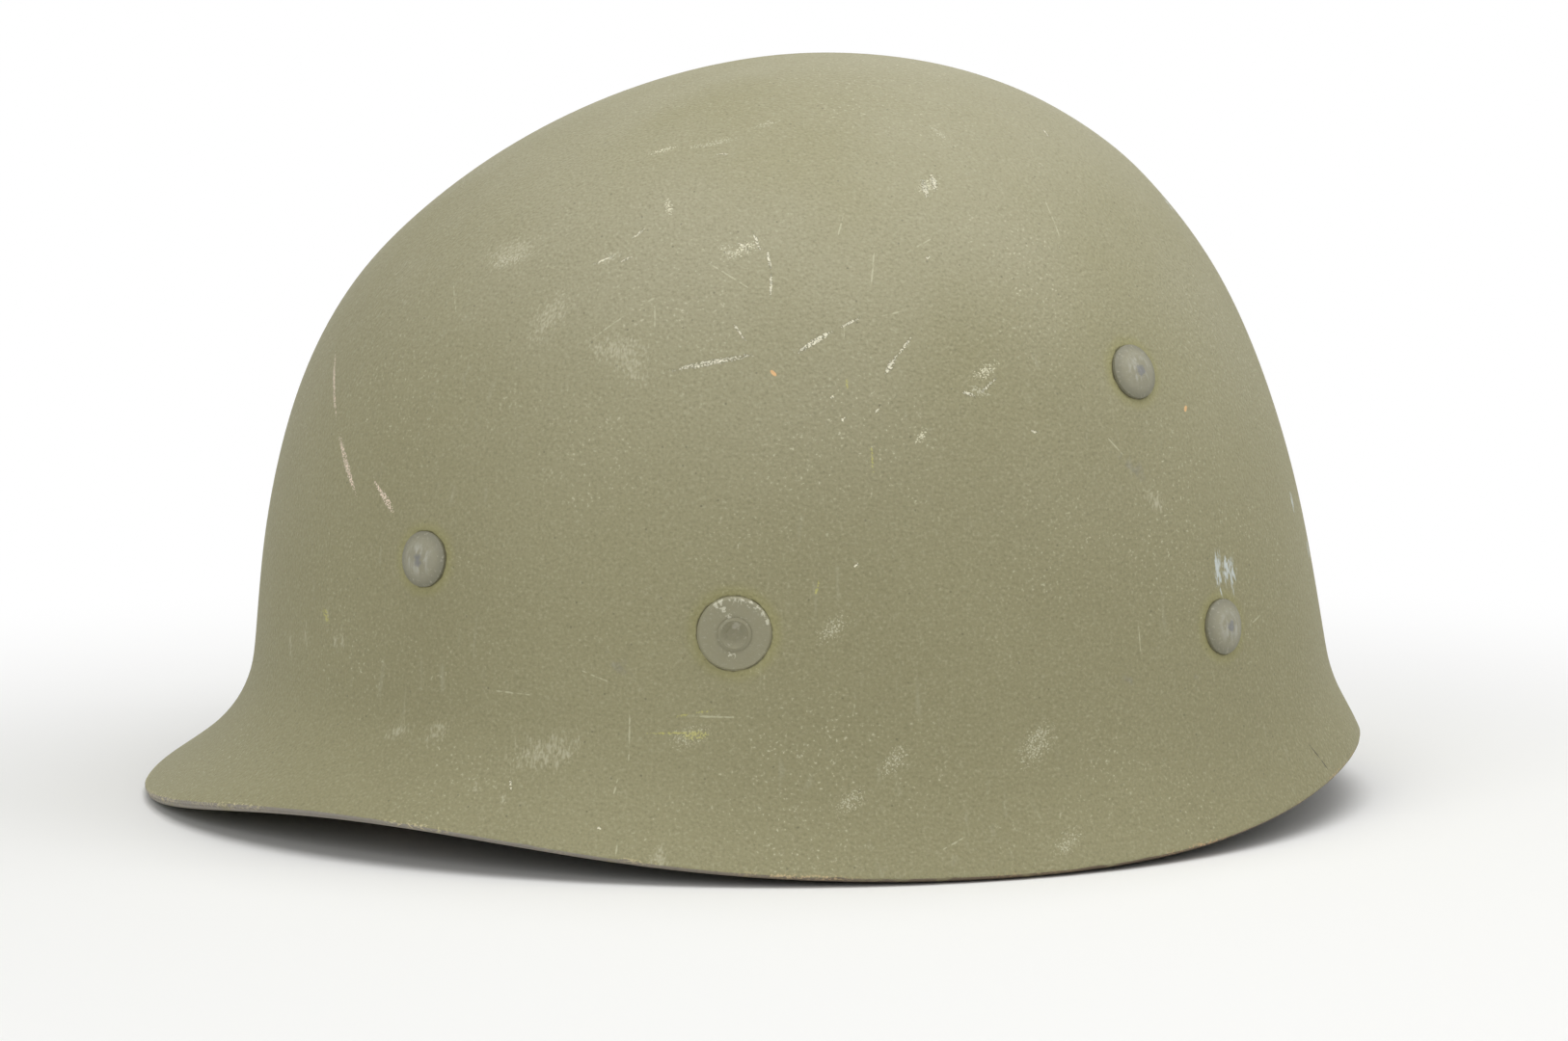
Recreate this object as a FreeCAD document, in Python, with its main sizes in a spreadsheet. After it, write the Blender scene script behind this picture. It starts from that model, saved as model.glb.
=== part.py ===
import FreeCAD, Part
import math
import os
import Sketcher
from FreeCAD import Placement, Rotation, Vector

# Riveted pot-shaped helmet. Millimetres. The visor points to -X, +Z is up, the wearer's left is -Y.
# The origin lies on the floor under the middle of the shell's outline.

DIMENSIONS = (
    ("crown_height", 167.0, "outer top of the crown above the floor"),
    ("crown_back", 20.5, "how far the top of the crown lies behind the middle"),
    ("wall_front", 112.6, "front wall to the middle, at the wall's foot"),
    ("wall_rear", 130.0, "rear wall to the middle, at the wall's foot"),
    ("wall_half_width", 109.3, "half the width over the walls"),
    ("widest_back", 8.5, "how far the widest place lies behind the middle"),
    ("wall_foot", 33.0, "height where the wall turns out into the rim"),
    ("shoulder_inset_front", 30.5, "wall to the 45 degree point of the dome, in front"),
    ("shoulder_inset_side", 32.0, "the same at the side"),
    ("shoulder_inset_rear", 42.2, "the same behind"),
    ("shoulder_drop_front", 42.3, "crown down to the 45 degree point, in front"),
    ("shoulder_drop_side", 26.6, "the same at the side"),
    ("shoulder_drop_rear", 26.5, "the same behind"),
    ("wall_lean_front", 3.8, "degrees that the front wall leans in"),
    ("wall_lean_side", 3.0, "degrees that the side wall leans in"),
    ("wall_lean_rear", 9.2, "degrees that the rear wall leans in"),
    ("visor_reach", 25.4, "visor tip ahead of the front wall"),
    ("side_flare", 7.3, "rim outside the side wall"),
    ("rear_flare", 8.0, "rim behind the rear wall"),
    ("visor_slope", 31.0, "degrees that the visor falls"),
    ("side_slope", 65.0, "degrees that the side rim falls"),
    ("rear_slope", 68.0, "degrees that the rear rim falls"),
    ("rim_front", 2.1, "rim height at the visor tip"),
    ("rim_front_quarter", 8.3, "rim height 30 degrees round from the tip"),
    ("rim_arch", 8.4, "rim height at 60 degrees"),
    ("rim_side", 2.4, "rim height at 90 degrees"),
    ("rim_side_low", 1.3, "rim height at 120 degrees"),
    ("rim_rear_quarter", 7.2, "rim height at 150 degrees"),
    ("rim_rear", 13.9, "rim height behind"),
    ("shell_thick", 2.4, "thickness of the moulded shell"),
    ("front_rivet_angle", 48.0, "plan angle of the front rivet from the visor tip"),
    ("front_rivet_height", 64.9, "its height"),
    ("stud_angle", 84.3, "plan angle of the chin strap stud"),
    ("stud_height", 53.3, "its height"),
    ("rear_rivet_angle", 133.5, "plan angle of the rear rivet"),
    ("rear_rivet_height", 104.3, "its height"),
    ("nape_rivet_angle", 142.0, "plan angle of the nape rivet"),
    ("nape_rivet_height", 48.0, "its height"),
    ("rivet_head_radius", 6.0, "domed rivet head"),
    ("rivet_head_rise", 2.3, "top of the dome above the shell"),
    ("rivet_edge", 0.5, "upright edge of the domed head"),
    ("rivet_shank_radius", 2.2, "shank, which fills its hole"),
    ("rivet_tail_radius", 4.0, "set tail inside"),
    ("rivet_tail_thick", 1.2, "thickness of the set tail"),
    ("stud_washer_radius", 7.95, "flat outer washer"),
    ("stud_washer_thick", 1.1, "its thickness"),
    ("stud_rim_radius", 3.6, "turned-over outer end of the stud"),
    ("stud_rim_rise", 0.5, "its rise over the washer"),
    ("stud_dimple_radius", 3.0, "dimple in the outer end"),
    ("stud_dimple_depth", 1.3, "its depth"),
    ("stud_shank_radius", 2.5, "stud shank, which fills its hole"),
    ("stud_collar_radius", 5.0, "collar against the inside of the shell"),
    ("stud_collar_thick", 2.6, "its thickness"),
    ("stud_neck_radius", 2.6, "neck that the strap hook turns on"),
    ("stud_head_radius", 4.8, "inner head that keeps the hook on"),
    ("stud_head_thick", 1.8, "its thickness"),
    ("seat_depth", 0.9, "stock under a head or plate that is cut away to the shell's curve"),
    ("hanger_thick", 1.2, "sheet of the pressed hanger plates"),
    ("hanger_apex_radius", 7.5, "rounded end of a hanger at its rivet"),
    ("hanger_width", 24.0, "width of a hanger at its bar"),
    ("hanger_flat", 8.0, "from the rivet to the hanger's step"),
    ("hanger_step", 5.0, "height of the step"),
    ("hanger_standoff", 5.0, "bar's back to the shell"),
    ("hanger_bridge", 5.0, "from the step to the slot"),
    ("hanger_slot", 4.0, "height of the webbing slot"),
    ("hanger_slot_width", 18.0, "its width"),
    ("hanger_bar", 3.5, "height of the bar under the slot"),
    ("webbing_thick", 1.5, "suspension webbing"),
    ("tab_width", 16.0, "webbing loop on a hanger"),
    ("tab_tail", 16.0, "how far the loop's tail reaches above the bar"),
    ("tab_seam", 8.0, "sewn flat end of the loop's tail"),
    ("sewn_gap", 0.3, "air between sewn layers"),
    ("band_width", 28.0, "head band"),
    ("band_height", 40.0, "middle of the head band at the side of the helmet"),
    ("band_tilt", 0.104, "fall of the head band to the rear, per length"),
    ("band_lean", 5.0, "degrees that the head band leans in"),
    ("band_gap_ends", 12.0, "shell to head band, in front and behind"),
    ("band_gap_side", 17.0, "shell to head band at the side"),
    ("sweatband_gap", 2.2, "head band to sweatband"),
    ("sweatband_thick", 1.8, "leather of the sweatband"),
    ("crown_strap_width", 22.0, "crown straps"),
    ("crown_gap", 38.0, "inside of the crown to the top strap"),
    ("crown_step", 0.8, "air between crossing straps"),
    ("patch_side", 30.0, "square patch sewn over the crossing"),
    ("clip_width", 9.0, "spring clips that join the bands"),
    ("clip_thick", 0.6, "their sheet"),
    ("clip_leg", 12.0, "how far they reach down"),
    ("keeper_width", 12.0, "loop that holds the sweatband's ends"),
    ("keeper_thick", 1.0, "its wire"),
    ("chin_width", 13.0, "chin strap leather"),
    ("chin_thick", 2.0, "its thickness"),
    ("chin_leg", 36.0, "straight leg of the chin strap"),
    ("chin_leg_lean", 17.0, "degrees that the leg runs inwards"),
    ("chin_bend_radius", 56.0, "bend from leg to bottom"),
    ("chin_rest_angle", 31.0, "degrees under level of the strap tucked up behind the visor"),
    ("hook_thick", 1.0, "sheet of the strap hook"),
    ("hook_radius", 7.0, "eye of the hook"),
    ("hook_tongue", 24.0, "reach of the tongue over the strap"),
    ("hook_start", 13.0, "stud axis to the end of the leather"),
    ("running_gap", 0.08, "hook on the stud's neck"),
    ("side_play", 0.3, "hook between collar and head"),
    ("hook_tongue_width", 9.0, "width of the tongue"),
    ("hook_rivet_radius", 1.3, "small rivet through tongue and leather"),
    ("hook_rivet_head", 2.6, "its heads"),
    ("hook_rivet_rise", 0.8, "thickness of each head"),
    ("buckle_frame", 3.0, "bars of the chin buckle"),
    ("buckle_thick", 1.2, "its sheet"),
    ("buckle_length", 18.0, "length along the strap"),
    ("buckle_play", 0.3, "air between strap and buckle"),
    ("buckle_offset", 14.0, "buckle to the middle of the strap"),
)

# Shares of a curve's length that shape the meridian
DOME_HANDLE = 0.34
FLARE_LEAD = 0.47
FLARE_END = 0.33
VISOR_FOCUS = 5.7
REAR_FOCUS = 3.2
RIM_PLACES = ("rim_front", "rim_front_quarter", "rim_arch", "rim_side",
              "rim_side_low", "rim_rear_quarter", "rim_rear")
CLIP_ANGLES = (28, 70, 112, 160)
POINTS_ROUND = 36
CROWN_STEPS = 12
SEAM_STEPS = 4
# Each crown strap: plan angles of its two ends, and its layer under the top one
CROWN_STRAPS = {"crown_strap_right": (312.0, 129.5, 0), "crown_strap_left": (48.0, 230.5, 1),
                "crown_strap_side": (90.0, 270.0, 2)}

doc = FreeCAD.newDocument("helmet")
sheet = doc.addObject("Spreadsheet::Sheet", "Sizes")
for row, (alias, value, note) in enumerate(DIMENSIONS, start=1):
    sheet.set(f"A{row}", alias)
    sheet.set(f"B{row}", str(value))
    sheet.set(f"C{row}", note)
    sheet.setAlias(f"B{row}", alias)
doc.recompute()


class Size:
    """A size with its value and the sheet formula that drives it."""

    def __init__(self, value, formula):
        self.value = float(value)
        self.formula = formula

    @staticmethod
    def of(other):
        return other if isinstance(other, Size) else Size(other, repr(float(other)))

    def __add__(self, other):
        other = Size.of(other)
        return Size(self.value + other.value, f"({self.formula} + {other.formula})")

    def __sub__(self, other):
        other = Size.of(other)
        return Size(self.value - other.value, f"({self.formula} - {other.formula})")

    def __mul__(self, other):
        other = Size.of(other)
        return Size(self.value * other.value, f"({self.formula} * {other.formula})")

    def __truediv__(self, other):
        other = Size.of(other)
        return Size(self.value / other.value, f"({self.formula} / {other.formula})")

    def __neg__(self):
        return Size(-self.value, f"(0 - {self.formula})")

    def __radd__(self, other):
        return Size.of(other) + self

    def __rsub__(self, other):
        return Size.of(other) - self

    __rmul__ = __mul__


def size(alias):
    """The named size with its formula."""
    return Size(getattr(sheet, alias), f"Sizes.{alias}")


def number(alias):
    """The named size as a plain number."""
    return float(getattr(sheet, alias))


def derive(alias, value, note):
    """Adds a worked-out size to the sheet, so that sketches can follow it."""
    row = 1 + sum(1 for cell in sheet.getUsedCells() if cell.startswith("A"))
    sheet.set(f"A{row}", alias)
    sheet.set(f"B{row}", repr(value))
    sheet.set(f"C{row}", note)
    sheet.setAlias(f"B{row}", alias)
    sheet.recompute()
    return size(alias)


# The shell's surface

def around(stem, angle):
    """A size given in front, at the side and behind, blended at a plan angle."""
    front, side, rear = (number(f"{stem}_{place}") for place in ("front", "side", "rear"))
    return blend(front, side, rear, angle)


def blend(front, side, rear, angle):
    """Value at a plan angle between its front, side and rear values."""
    ahead = math.cos(angle)
    ends = (front + rear) / 2 + (front - rear) / 2 * ahead
    return side * (1 - ahead * ahead) + ends * ahead * ahead


def rim_height(angle):
    """Rim height at a plan angle: the cosine series through the seven named heights."""
    heights = [number(alias) for alias in RIM_PLACES]
    last = len(heights) - 1
    total = 0.0
    for order in range(last + 1):
        weight = 0.0
        for place, height in enumerate(heights):
            end = 0.5 if place in (0, last) else 1.0
            weight += end * height * math.cos(math.pi * order * place / last)
        half = 0.5 if order in (0, last) else 1.0
        total += half * 2 / last * weight * math.cos(order * angle)
    return total


def cubic(share, start, lead, trail, end):
    """Point of a cubic curve from its four control values."""
    left = 1 - share
    return left**3 * start + 3 * left**2 * share * lead + 3 * left * share**2 * trail + share**3 * end


def foot_ring(angle):
    """Plan point of the wall's foot and the outward plan normal there."""
    front, rear = number("wall_front"), number("wall_rear")
    half = number("wall_half_width")
    swing, shift = (-front - rear) / 2, (rear - front) / 2
    ahead, aside = math.cos(angle), math.sin(angle)
    point = Vector(swing * ahead + shift * ahead**2 + number("widest_back") * aside**2, -half * aside, 0)
    along = Vector(-swing * aside + 2 * (number("widest_back") - shift) * aside * ahead, -half * ahead, 0)
    normal = Vector(along.y, -along.x, 0).normalize()
    return point, normal if normal.dot(point) > 0 else normal * -1


def outer_point(angle, share):
    """Point of the outer face: share 0 at the crown, 1 at the shoulder, 2 at the foot, 3 at the rim."""
    foot, normal = foot_ring(angle)
    crown = Vector(number("crown_back"), 0, number("crown_height"))
    spoke = Vector(foot.x - crown.x, foot.y, 0)
    reach = spoke.Length
    spoke.normalize()
    inset = around("shoulder_inset", angle)
    drop = around("shoulder_drop", angle)
    foot_height = number("wall_foot")
    if share <= 1:
        handle = DOME_HANDLE * math.hypot(reach - inset, drop)
        slant = handle * math.sqrt(0.5)
        out = cubic(share, 0, handle, reach - inset - slant, reach - inset)
        height = cubic(share, crown.z, crown.z, crown.z - drop + slant, crown.z - drop)
        return Vector(crown.x, 0, height) + spoke * out
    if share <= 2:
        lean = math.radians(around("wall_lean", angle))
        tall = crown.z - drop - foot_height
        handle = DOME_HANDLE * math.hypot(inset, tall)
        slant = handle * math.sqrt(0.5)
        out = cubic(share - 1, reach - inset, reach - inset + slant, reach - math.sin(lean) * handle, reach)
        height = cubic(share - 1, crown.z - drop, crown.z - drop - slant,
                       foot_height + math.cos(lean) * handle, foot_height)
        return Vector(crown.x, 0, height) + spoke * out
    return flare_point(angle, share - 2, foot, normal)


def flare_point(angle, share, foot, normal):
    """Point of the turned-out rim: share 0 at the wall's foot, 1 at the edge."""
    to_front = ((1 + math.cos(angle)) / 2) ** VISOR_FOCUS
    to_rear = ((1 - math.cos(angle)) / 2) ** REAR_FOCUS
    side = number("side_flare")
    reach = side + (number("visor_reach") - side) * to_front + (number("rear_flare") - side) * to_rear
    steep = number("side_slope")
    slope = steep + (number("visor_slope") - steep) * to_front + (number("rear_slope") - steep) * to_rear
    slope = math.radians(slope)
    lean = math.radians(around("wall_lean", angle))
    edge = rim_height(angle)
    drop = number("wall_foot") - edge
    lead = FLARE_LEAD * drop
    trail = FLARE_END * math.hypot(reach, drop)
    out = cubic(share, 0, math.tan(lean) * lead, reach - math.cos(slope) * trail, reach)
    height = cubic(share, number("wall_foot"), number("wall_foot") - lead, edge + math.sin(slope) * trail, edge)
    return Vector(foot.x, foot.y, height) + normal * out


def outward(angle, share):
    """Unit normal of the outer face."""
    tiny = 1e-4
    if share < tiny:
        return Vector(0, 0, 1)
    low, high = max(share - tiny, tiny), min(share + tiny, 3)
    across = outer_point(angle + tiny, share) - outer_point(angle - tiny, share)
    down = outer_point(angle, high) - outer_point(angle, low)
    normal = across.cross(down).normalize()
    middle = Vector(number("widest_back"), 0, 0)
    return normal if normal.dot(outer_point(angle, share) - middle) > 0 else normal * -1


def skin_point(angle, share, depth):
    """Point at a depth under the outer face."""
    return outer_point(angle, share) - outward(angle, share) * depth


def share_at_height(angle, height, depth=0.0):
    """Share of the meridian where the skin at that depth has the given height."""
    low, high = 0.01, 2.9
    for _ in range(40):
        middle = (low + high) / 2
        if skin_point(angle, middle, depth).z > height:
            low = middle
        else:
            high = middle
    return (low + high) / 2


def ring_curve(points):
    """Smooth closed curve through points at even steps."""
    curve = Part.BSplineCurve()
    steps = [step / len(points) for step in range(len(points) + 1)]
    curve.interpolate(Points=points, PeriodicFlag=True, Parameters=steps)
    return curve


def skin_face(depth, shares):
    """Smooth face at a depth under the outer face, from the crown to the rim."""
    angles = [2 * math.pi * step / POINTS_ROUND for step in range(POINTS_ROUND)]
    rings = [ring_curve([skin_point(angle, share, depth) for angle in angles]) for share in shares[1:]]
    crown = skin_point(0, 0, depth)
    columns = []
    for place in range(rings[0].NbPoles):
        meridian = Part.BSplineCurve()
        meridian.interpolate(Points=[crown] + [ring.getPole(place + 1) for ring in rings], Parameters=shares)
        columns.append(meridian)
    face = Part.BSplineSurface()
    face.buildFromPolesMultsKnots(
        [column.getPoles() for column in columns],
        rings[0].getMultiplicities(), columns[0].getMultiplicities(),
        rings[0].getKnots(), columns[0].getKnots(), True, False, 3, 3)
    return face


def shell_blank():
    """The moulded shell before it is drilled: outer face, inner face and the edge between them."""
    shares = [0, 0.1, 0.25, 0.45, 0.65, 0.85, 1.0, 1.15, 1.35, 1.6, 1.8, 2.0,
              2.15, 2.3, 2.45, 2.6, 2.75, 2.9, 3.0]
    outer = skin_face(0, shares)
    inner = skin_face(number("shell_thick"), shares)
    edge = Part.makeRuledSurface(outer.vIso(3.0).toShape(), inner.vIso(3.0).toShape())
    return closed_solid([outer.toShape(), inner.toShape(), edge])


def closed_solid(faces):
    """Solid inside faces that meet edge to edge."""
    shape = Part.Compound(faces)
    shape.sewShape()
    solid = Part.Solid(shape.Shells[0])
    if solid.Volume < 0:
        solid.reverse()
    return solid


# Frames on the shell

def frame_on_shell(place):
    """Placement at a rivet: Z outwards, Y up the wall, X across it."""
    angle = math.radians(number(f"{place}_angle"))
    share = share_at_height(angle, number(f"{place}_height"))
    normal = outward(angle, share)
    up = (Vector(0, 0, 1) - normal * normal.z).normalize()
    return Placement(outer_point(angle, share), Rotation(up.cross(normal), up, normal, "ZXY"))


def stud_frame():
    """Placement of the left stud: its axis lies square to the helmet's middle plane."""
    angle = math.radians(number("stud_angle"))
    point = outer_point(angle, share_at_height(angle, number("stud_height")))
    return Placement(point, Rotation(Vector(1, 0, 0), Vector(0, 0, 1), Vector(0, -1, 0), "ZXY"))


# Building blocks

nodes = []


def keep(thing, label):
    """Names a finished sub-part."""
    thing.Label = label
    nodes.append(thing)
    return thing


def blank_sketch(body, role):
    """Empty sketch on one of the body's own planes."""
    plane = next(item for item in body.Origin.OriginFeatures if item.Role == role)
    sketch = body.newObject("Sketcher::SketchObject", f"{body.Name}_sketch")
    sketch.AttachmentSupport = [(plane, "")]
    sketch.MapMode = "FlatFace"
    return sketch


def drawn(body, role, outline, arcs=()):
    """Sketch of a closed outline on a plane of the body, each corner bound to the sheet.

    An edge whose number is in arcs is an arc round a centre on that axis of the sketch.
    """
    sketch = blank_sketch(body, role)
    corners = [(Size.of(across), Size.of(up)) for across, up in outline]
    arcs = dict(arcs)
    for edge, (start, end) in enumerate(zip(corners, corners[1:] + corners[:1])):
        first = Vector(start[0].value, start[1].value, 0)
        last = Vector(end[0].value, end[1].value, 0)
        if edge in arcs:
            centre, clockwise = arcs[edge]
            centre = Vector(centre[0].value, centre[1].value, 0)
            sketch.addGeometry(arc_between(centre, first, last, clockwise))
        else:
            sketch.addGeometry(Part.LineSegment(first, last))
    bind_corners(sketch, corners, arcs)
    return sketch


def arc_between(centre, first, last, clockwise):
    """Arc of a circle round a centre, from first to last, or the other way where clockwise."""
    start, end = (last, first) if clockwise else (first, last)
    angles = [math.atan2(point.y - centre.y, point.x - centre.x) for point in (start, end)]
    circle = Part.Circle(centre, Vector(0, 0, 1), (first - centre).Length)
    return Part.ArcOfCircle(circle, angles[0], angles[1])


def bind_corners(sketch, corners, arcs):
    """Joins the edges end to end and drives each corner by its formulas."""
    count = len(corners)
    for edge in range(count):
        after = (edge + 1) % count
        last_end = 1 if edge in arcs and arcs[edge][1] else 2
        next_start = 2 if after in arcs and arcs[after][1] else 1
        sketch.addConstraint(Sketcher.Constraint("Coincident", edge, last_end, after, next_start))
    for edge, corner in enumerate(corners):
        start = 2 if edge in arcs and arcs[edge][1] else 1
        for kind, coordinate in zip(("DistanceX", "DistanceY"), corner):
            bind(sketch, Sketcher.Constraint(kind, -1, 1, edge, start, coordinate.value), coordinate)
    for edge, (centre, _) in arcs.items():
        bind(sketch, Sketcher.Constraint("DistanceX", -1, 1, edge, 3, centre[0].value), centre[0])


def bind(sketch, constraint, wanted):
    """Adds a constraint that follows the sheet."""
    index = sketch.addConstraint(constraint)
    sketch.setExpression(f"Constraints[{index}]", wanted.formula)


def turned(name, outline, arcs=()):
    """Body turned round Z from an outline of radius and height."""
    body = doc.addObject("PartDesign::Body", name)
    sketch = drawn(body, "XZ_Plane", outline, arcs)
    sketch.Visibility = False
    feature = body.newObject("PartDesign::Revolution", f"{name}_turning")
    feature.Profile = sketch
    feature.ReferenceAxis = (sketch, ["V_Axis"])
    feature.Angle = 360
    return body


def padded(name, role, outline, length, arcs=()):
    """Body made from an outline, pulled out evenly to both sides of its plane."""
    body = doc.addObject("PartDesign::Body", name)
    feature = body.newObject("PartDesign::Pad", f"{name}_pad")
    feature.Profile = drawn(body, role, outline, arcs)
    feature.SideType = "Symmetric"
    feature.setExpression("Length", Size.of(length).formula)
    return body


def pocketed(body, role, outline, length):
    """Cuts an outline through the body."""
    return cut_through(body, drawn(body, role, outline), length)


def drilled(body, radius, length):
    """Cuts a round hole through the body along its Z axis."""
    sketch = blank_sketch(body, "XY_Plane")
    sketch.addGeometry(Part.Circle(Vector(0, 0, 0), Vector(0, 0, 1), radius.value))
    sketch.addConstraint(Sketcher.Constraint("Coincident", 0, 3, -1, 1))
    bind(sketch, Sketcher.Constraint("Radius", 0, radius.value), radius)
    return cut_through(body, sketch, length)


def cut_through(body, sketch, length):
    """Cuts a sketch through the body, evenly to both sides of its plane."""
    doc.recompute()
    before = body.Shape.Volume
    feature = body.newObject("PartDesign::Pocket", f"{body.Name}_pocket")
    feature.Profile = sketch
    feature.SideType = "Symmetric"
    feature.setExpression("Length", Size.of(length).formula)
    doc.recompute()
    if body.Shape.Volume > before - 1e-3:
        raise ValueError(f"{body.Name}: {feature.Name} cuts nothing")
    return body


def rectangle(left, bottom, right, top):
    """Corners of a rectangle, anticlockwise."""
    return [(left, bottom), (right, bottom), (right, top), (left, top)]


def mirrored(left, name):
    """Mirror image of a left piece, on the wearer's right."""
    right = doc.addObject("Part::Mirroring", name)
    right.Source = left
    right.Base = Vector(0, 0, 0)
    right.Normal = Vector(0, 1, 0)
    return right


def seated(body, label):
    """Left and right piece, each cut to the shell that it lies on."""
    sides = {"left": body, "right": mirrored(body, f"{label}_mirror")}
    for side, blank in sides.items():
        cut = doc.addObject("Part::Cut", f"{label}_{side}_cut")
        cut.Base = blank
        cut.Tool = shell
        keep(cut, f"{label}_{side}")


def both_sides(left, label):
    """Names a left piece and makes its mirror image."""
    keep(left, f"{label}_left")
    keep(mirrored(left, f"{label}_right_mirror"), f"{label}_right")


def feature_of(shape, name):
    """A document object that holds a shape."""
    feature = doc.addObject("Part::Feature", name)
    feature.Shape = shape
    return feature


# Shell

RIVET_PLACES = ("front_rivet", "rear_rivet", "nape_rivet")


def drilled_shell():
    """The shell with a hole for each rivet and stud."""
    blank = feature_of(shell_blank(), "shell_blank")
    drills = []
    for place in RIVET_PLACES + ("stud",):
        radius = size("stud_shank_radius" if place == "stud" else "rivet_shank_radius")
        frame = stud_frame() if place == "stud" else frame_on_shell(place)
        drill = doc.addObject("Part::Cylinder", f"{place}_drill")
        drill.setExpression("Radius", radius.formula)
        drill.setExpression("Height", (size("shell_thick") * 5).formula)
        drill.Placement = frame.multiply(Placement(Vector(0, 0, -2.5 * number("shell_thick")), Rotation()))
        drills += [drill, mirrored(drill, f"{place}_drill_opposite")]
    tool = doc.addObject("Part::MultiFuse", "drills")
    tool.Shapes = drills
    cut = doc.addObject("Part::Cut", "shell_drilled")
    cut.Base = blank
    cut.Tool = tool
    return keep(cut, "shell")


shell = drilled_shell()
doc.recompute()


# Rivets and studs

def rivet(place):
    """Domed rivet: head outside, shank through shell and hanger, set tail inside."""
    head, shank, tail = size("rivet_head_radius"), size("rivet_shank_radius"), size("rivet_tail_radius")
    inner_face = -(size("shell_thick") + size("hanger_thick"))
    end = inner_face - size("rivet_tail_thick")
    edge, rise = size("rivet_edge"), size("rivet_head_rise")
    outline = [(0, end), (tail * 0.6, end), (tail, inner_face - size("rivet_tail_thick") * 0.4),
               (tail, inner_face), (shank, inner_face), (shank, -size("seat_depth")),
               (head, -size("seat_depth")), (head, edge), (0, rise)]
    dome_centre = (edge * edge - rise * rise + head * head) / ((edge - rise) * 2)
    body = turned(f"{place}_turned", outline, {7: ((Size.of(0), dome_centre), False)})
    body.Placement = frame_on_shell(place)
    seated(body, place)


for rivet_place in RIVET_PLACES:
    rivet(rivet_place)

stud_inner_face = -(size("shell_thick") + size("stud_collar_thick"))
hook_space = size("hook_thick") + size("side_play") * 2


def stud():
    """Hollow-ended stud: turned-over outer end, shank, collar, neck and inner head."""
    washer_top = size("stud_washer_thick")
    rim, dimple = size("stud_rim_radius"), size("stud_dimple_radius")
    shank, neck, head = size("stud_shank_radius"), size("stud_neck_radius"), size("stud_head_radius")
    collar = size("stud_collar_radius")
    top = washer_top + size("stud_rim_rise")
    collar_back = -(size("shell_thick") - size("seat_depth"))
    head_back = stud_inner_face - hook_space
    end = head_back - size("stud_head_thick")
    outline = [(0, end), (head * 0.75, end), (head, end + size("stud_head_thick") * 0.5),
               (head, head_back), (neck, head_back), (neck, stud_inner_face),
               (collar, stud_inner_face), (collar, collar_back), (shank, collar_back),
               (shank, washer_top), (rim, washer_top), (rim, top - 0.2), (dimple, top),
               (dimple * 0.5, top - size("stud_dimple_depth") * 0.8), (0, top - size("stud_dimple_depth"))]
    body = turned("stud_turned", outline)
    body.Placement = stud_frame()
    seated(body, "stud")


def stud_washer():
    """Flat washer under the stud's outer end, with a soft edge."""
    outer, hole = size("stud_washer_radius"), size("stud_shank_radius")
    top = size("stud_washer_thick")
    outline = [(hole, -size("seat_depth")), (outer, -size("seat_depth")), (outer, top * 0.45),
               (outer - top * 0.4, top), (hole, top)]
    body = turned("stud_washer_turned", outline)
    body.Placement = stud_frame()
    seated(body, "stud_washer")


stud()
stud_washer()


# Hangers and webbing loops

bar_back = size("hanger_standoff")
bar_front = bar_back + size("hanger_thick")
step_top = -size("hanger_flat")
step_foot = step_top - size("hanger_step")
slot_top = step_foot - size("hanger_bridge")
slot_foot = slot_top - size("hanger_slot")
bar_foot = slot_foot - size("hanger_bar")


def inside_frame(place):
    """Placement on the inside of the shell at a rivet, with the same directions."""
    return frame_on_shell(place).multiply(Placement(Vector(0, 0, -number("shell_thick")), Rotation()))


def hanger(place):
    """Pressed A-shaped plate: flat at the rivet, a step inwards, a slot and a bar for webbing."""
    thick, seat, apex = size("hanger_thick"), size("seat_depth"), size("hanger_apex_radius")
    profile = [(apex, seat), (apex, -thick), (step_top, -thick), (step_foot, -bar_front),
               (bar_foot, -bar_front), (bar_foot, -bar_back), (step_foot - thick * 0.5, -bar_back),
               (step_top - thick * 0.5, 0), (step_top - thick * 0.5, seat)]
    body = padded(f"{place}_hanger_plate", "YZ_Plane", profile, size("hanger_width"))
    half, deep = size("hanger_width") / 2, size("hanger_standoff") * 6
    for side in (1, -1):
        wedge = [((half + 1) * side, apex + 1), (apex * 0.45 * side, apex + 1),
                 (apex * 0.45 * side, apex), (apex * side, apex * 0.3), (apex * side, 0 - apex * 0.4),
                 (half * side, slot_top), ((half + 1) * side, slot_top)]
        pocketed(body, "XY_Plane", wedge, deep)
    drilled(body, size("rivet_shank_radius"), deep)
    slot_half = size("hanger_slot_width") / 2
    pocketed(body, "XY_Plane", rectangle(-slot_half, slot_foot, slot_half, slot_top), deep)
    body.Placement = inside_frame(place)
    seated(body, place.replace("rivet", "hanger"))


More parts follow.
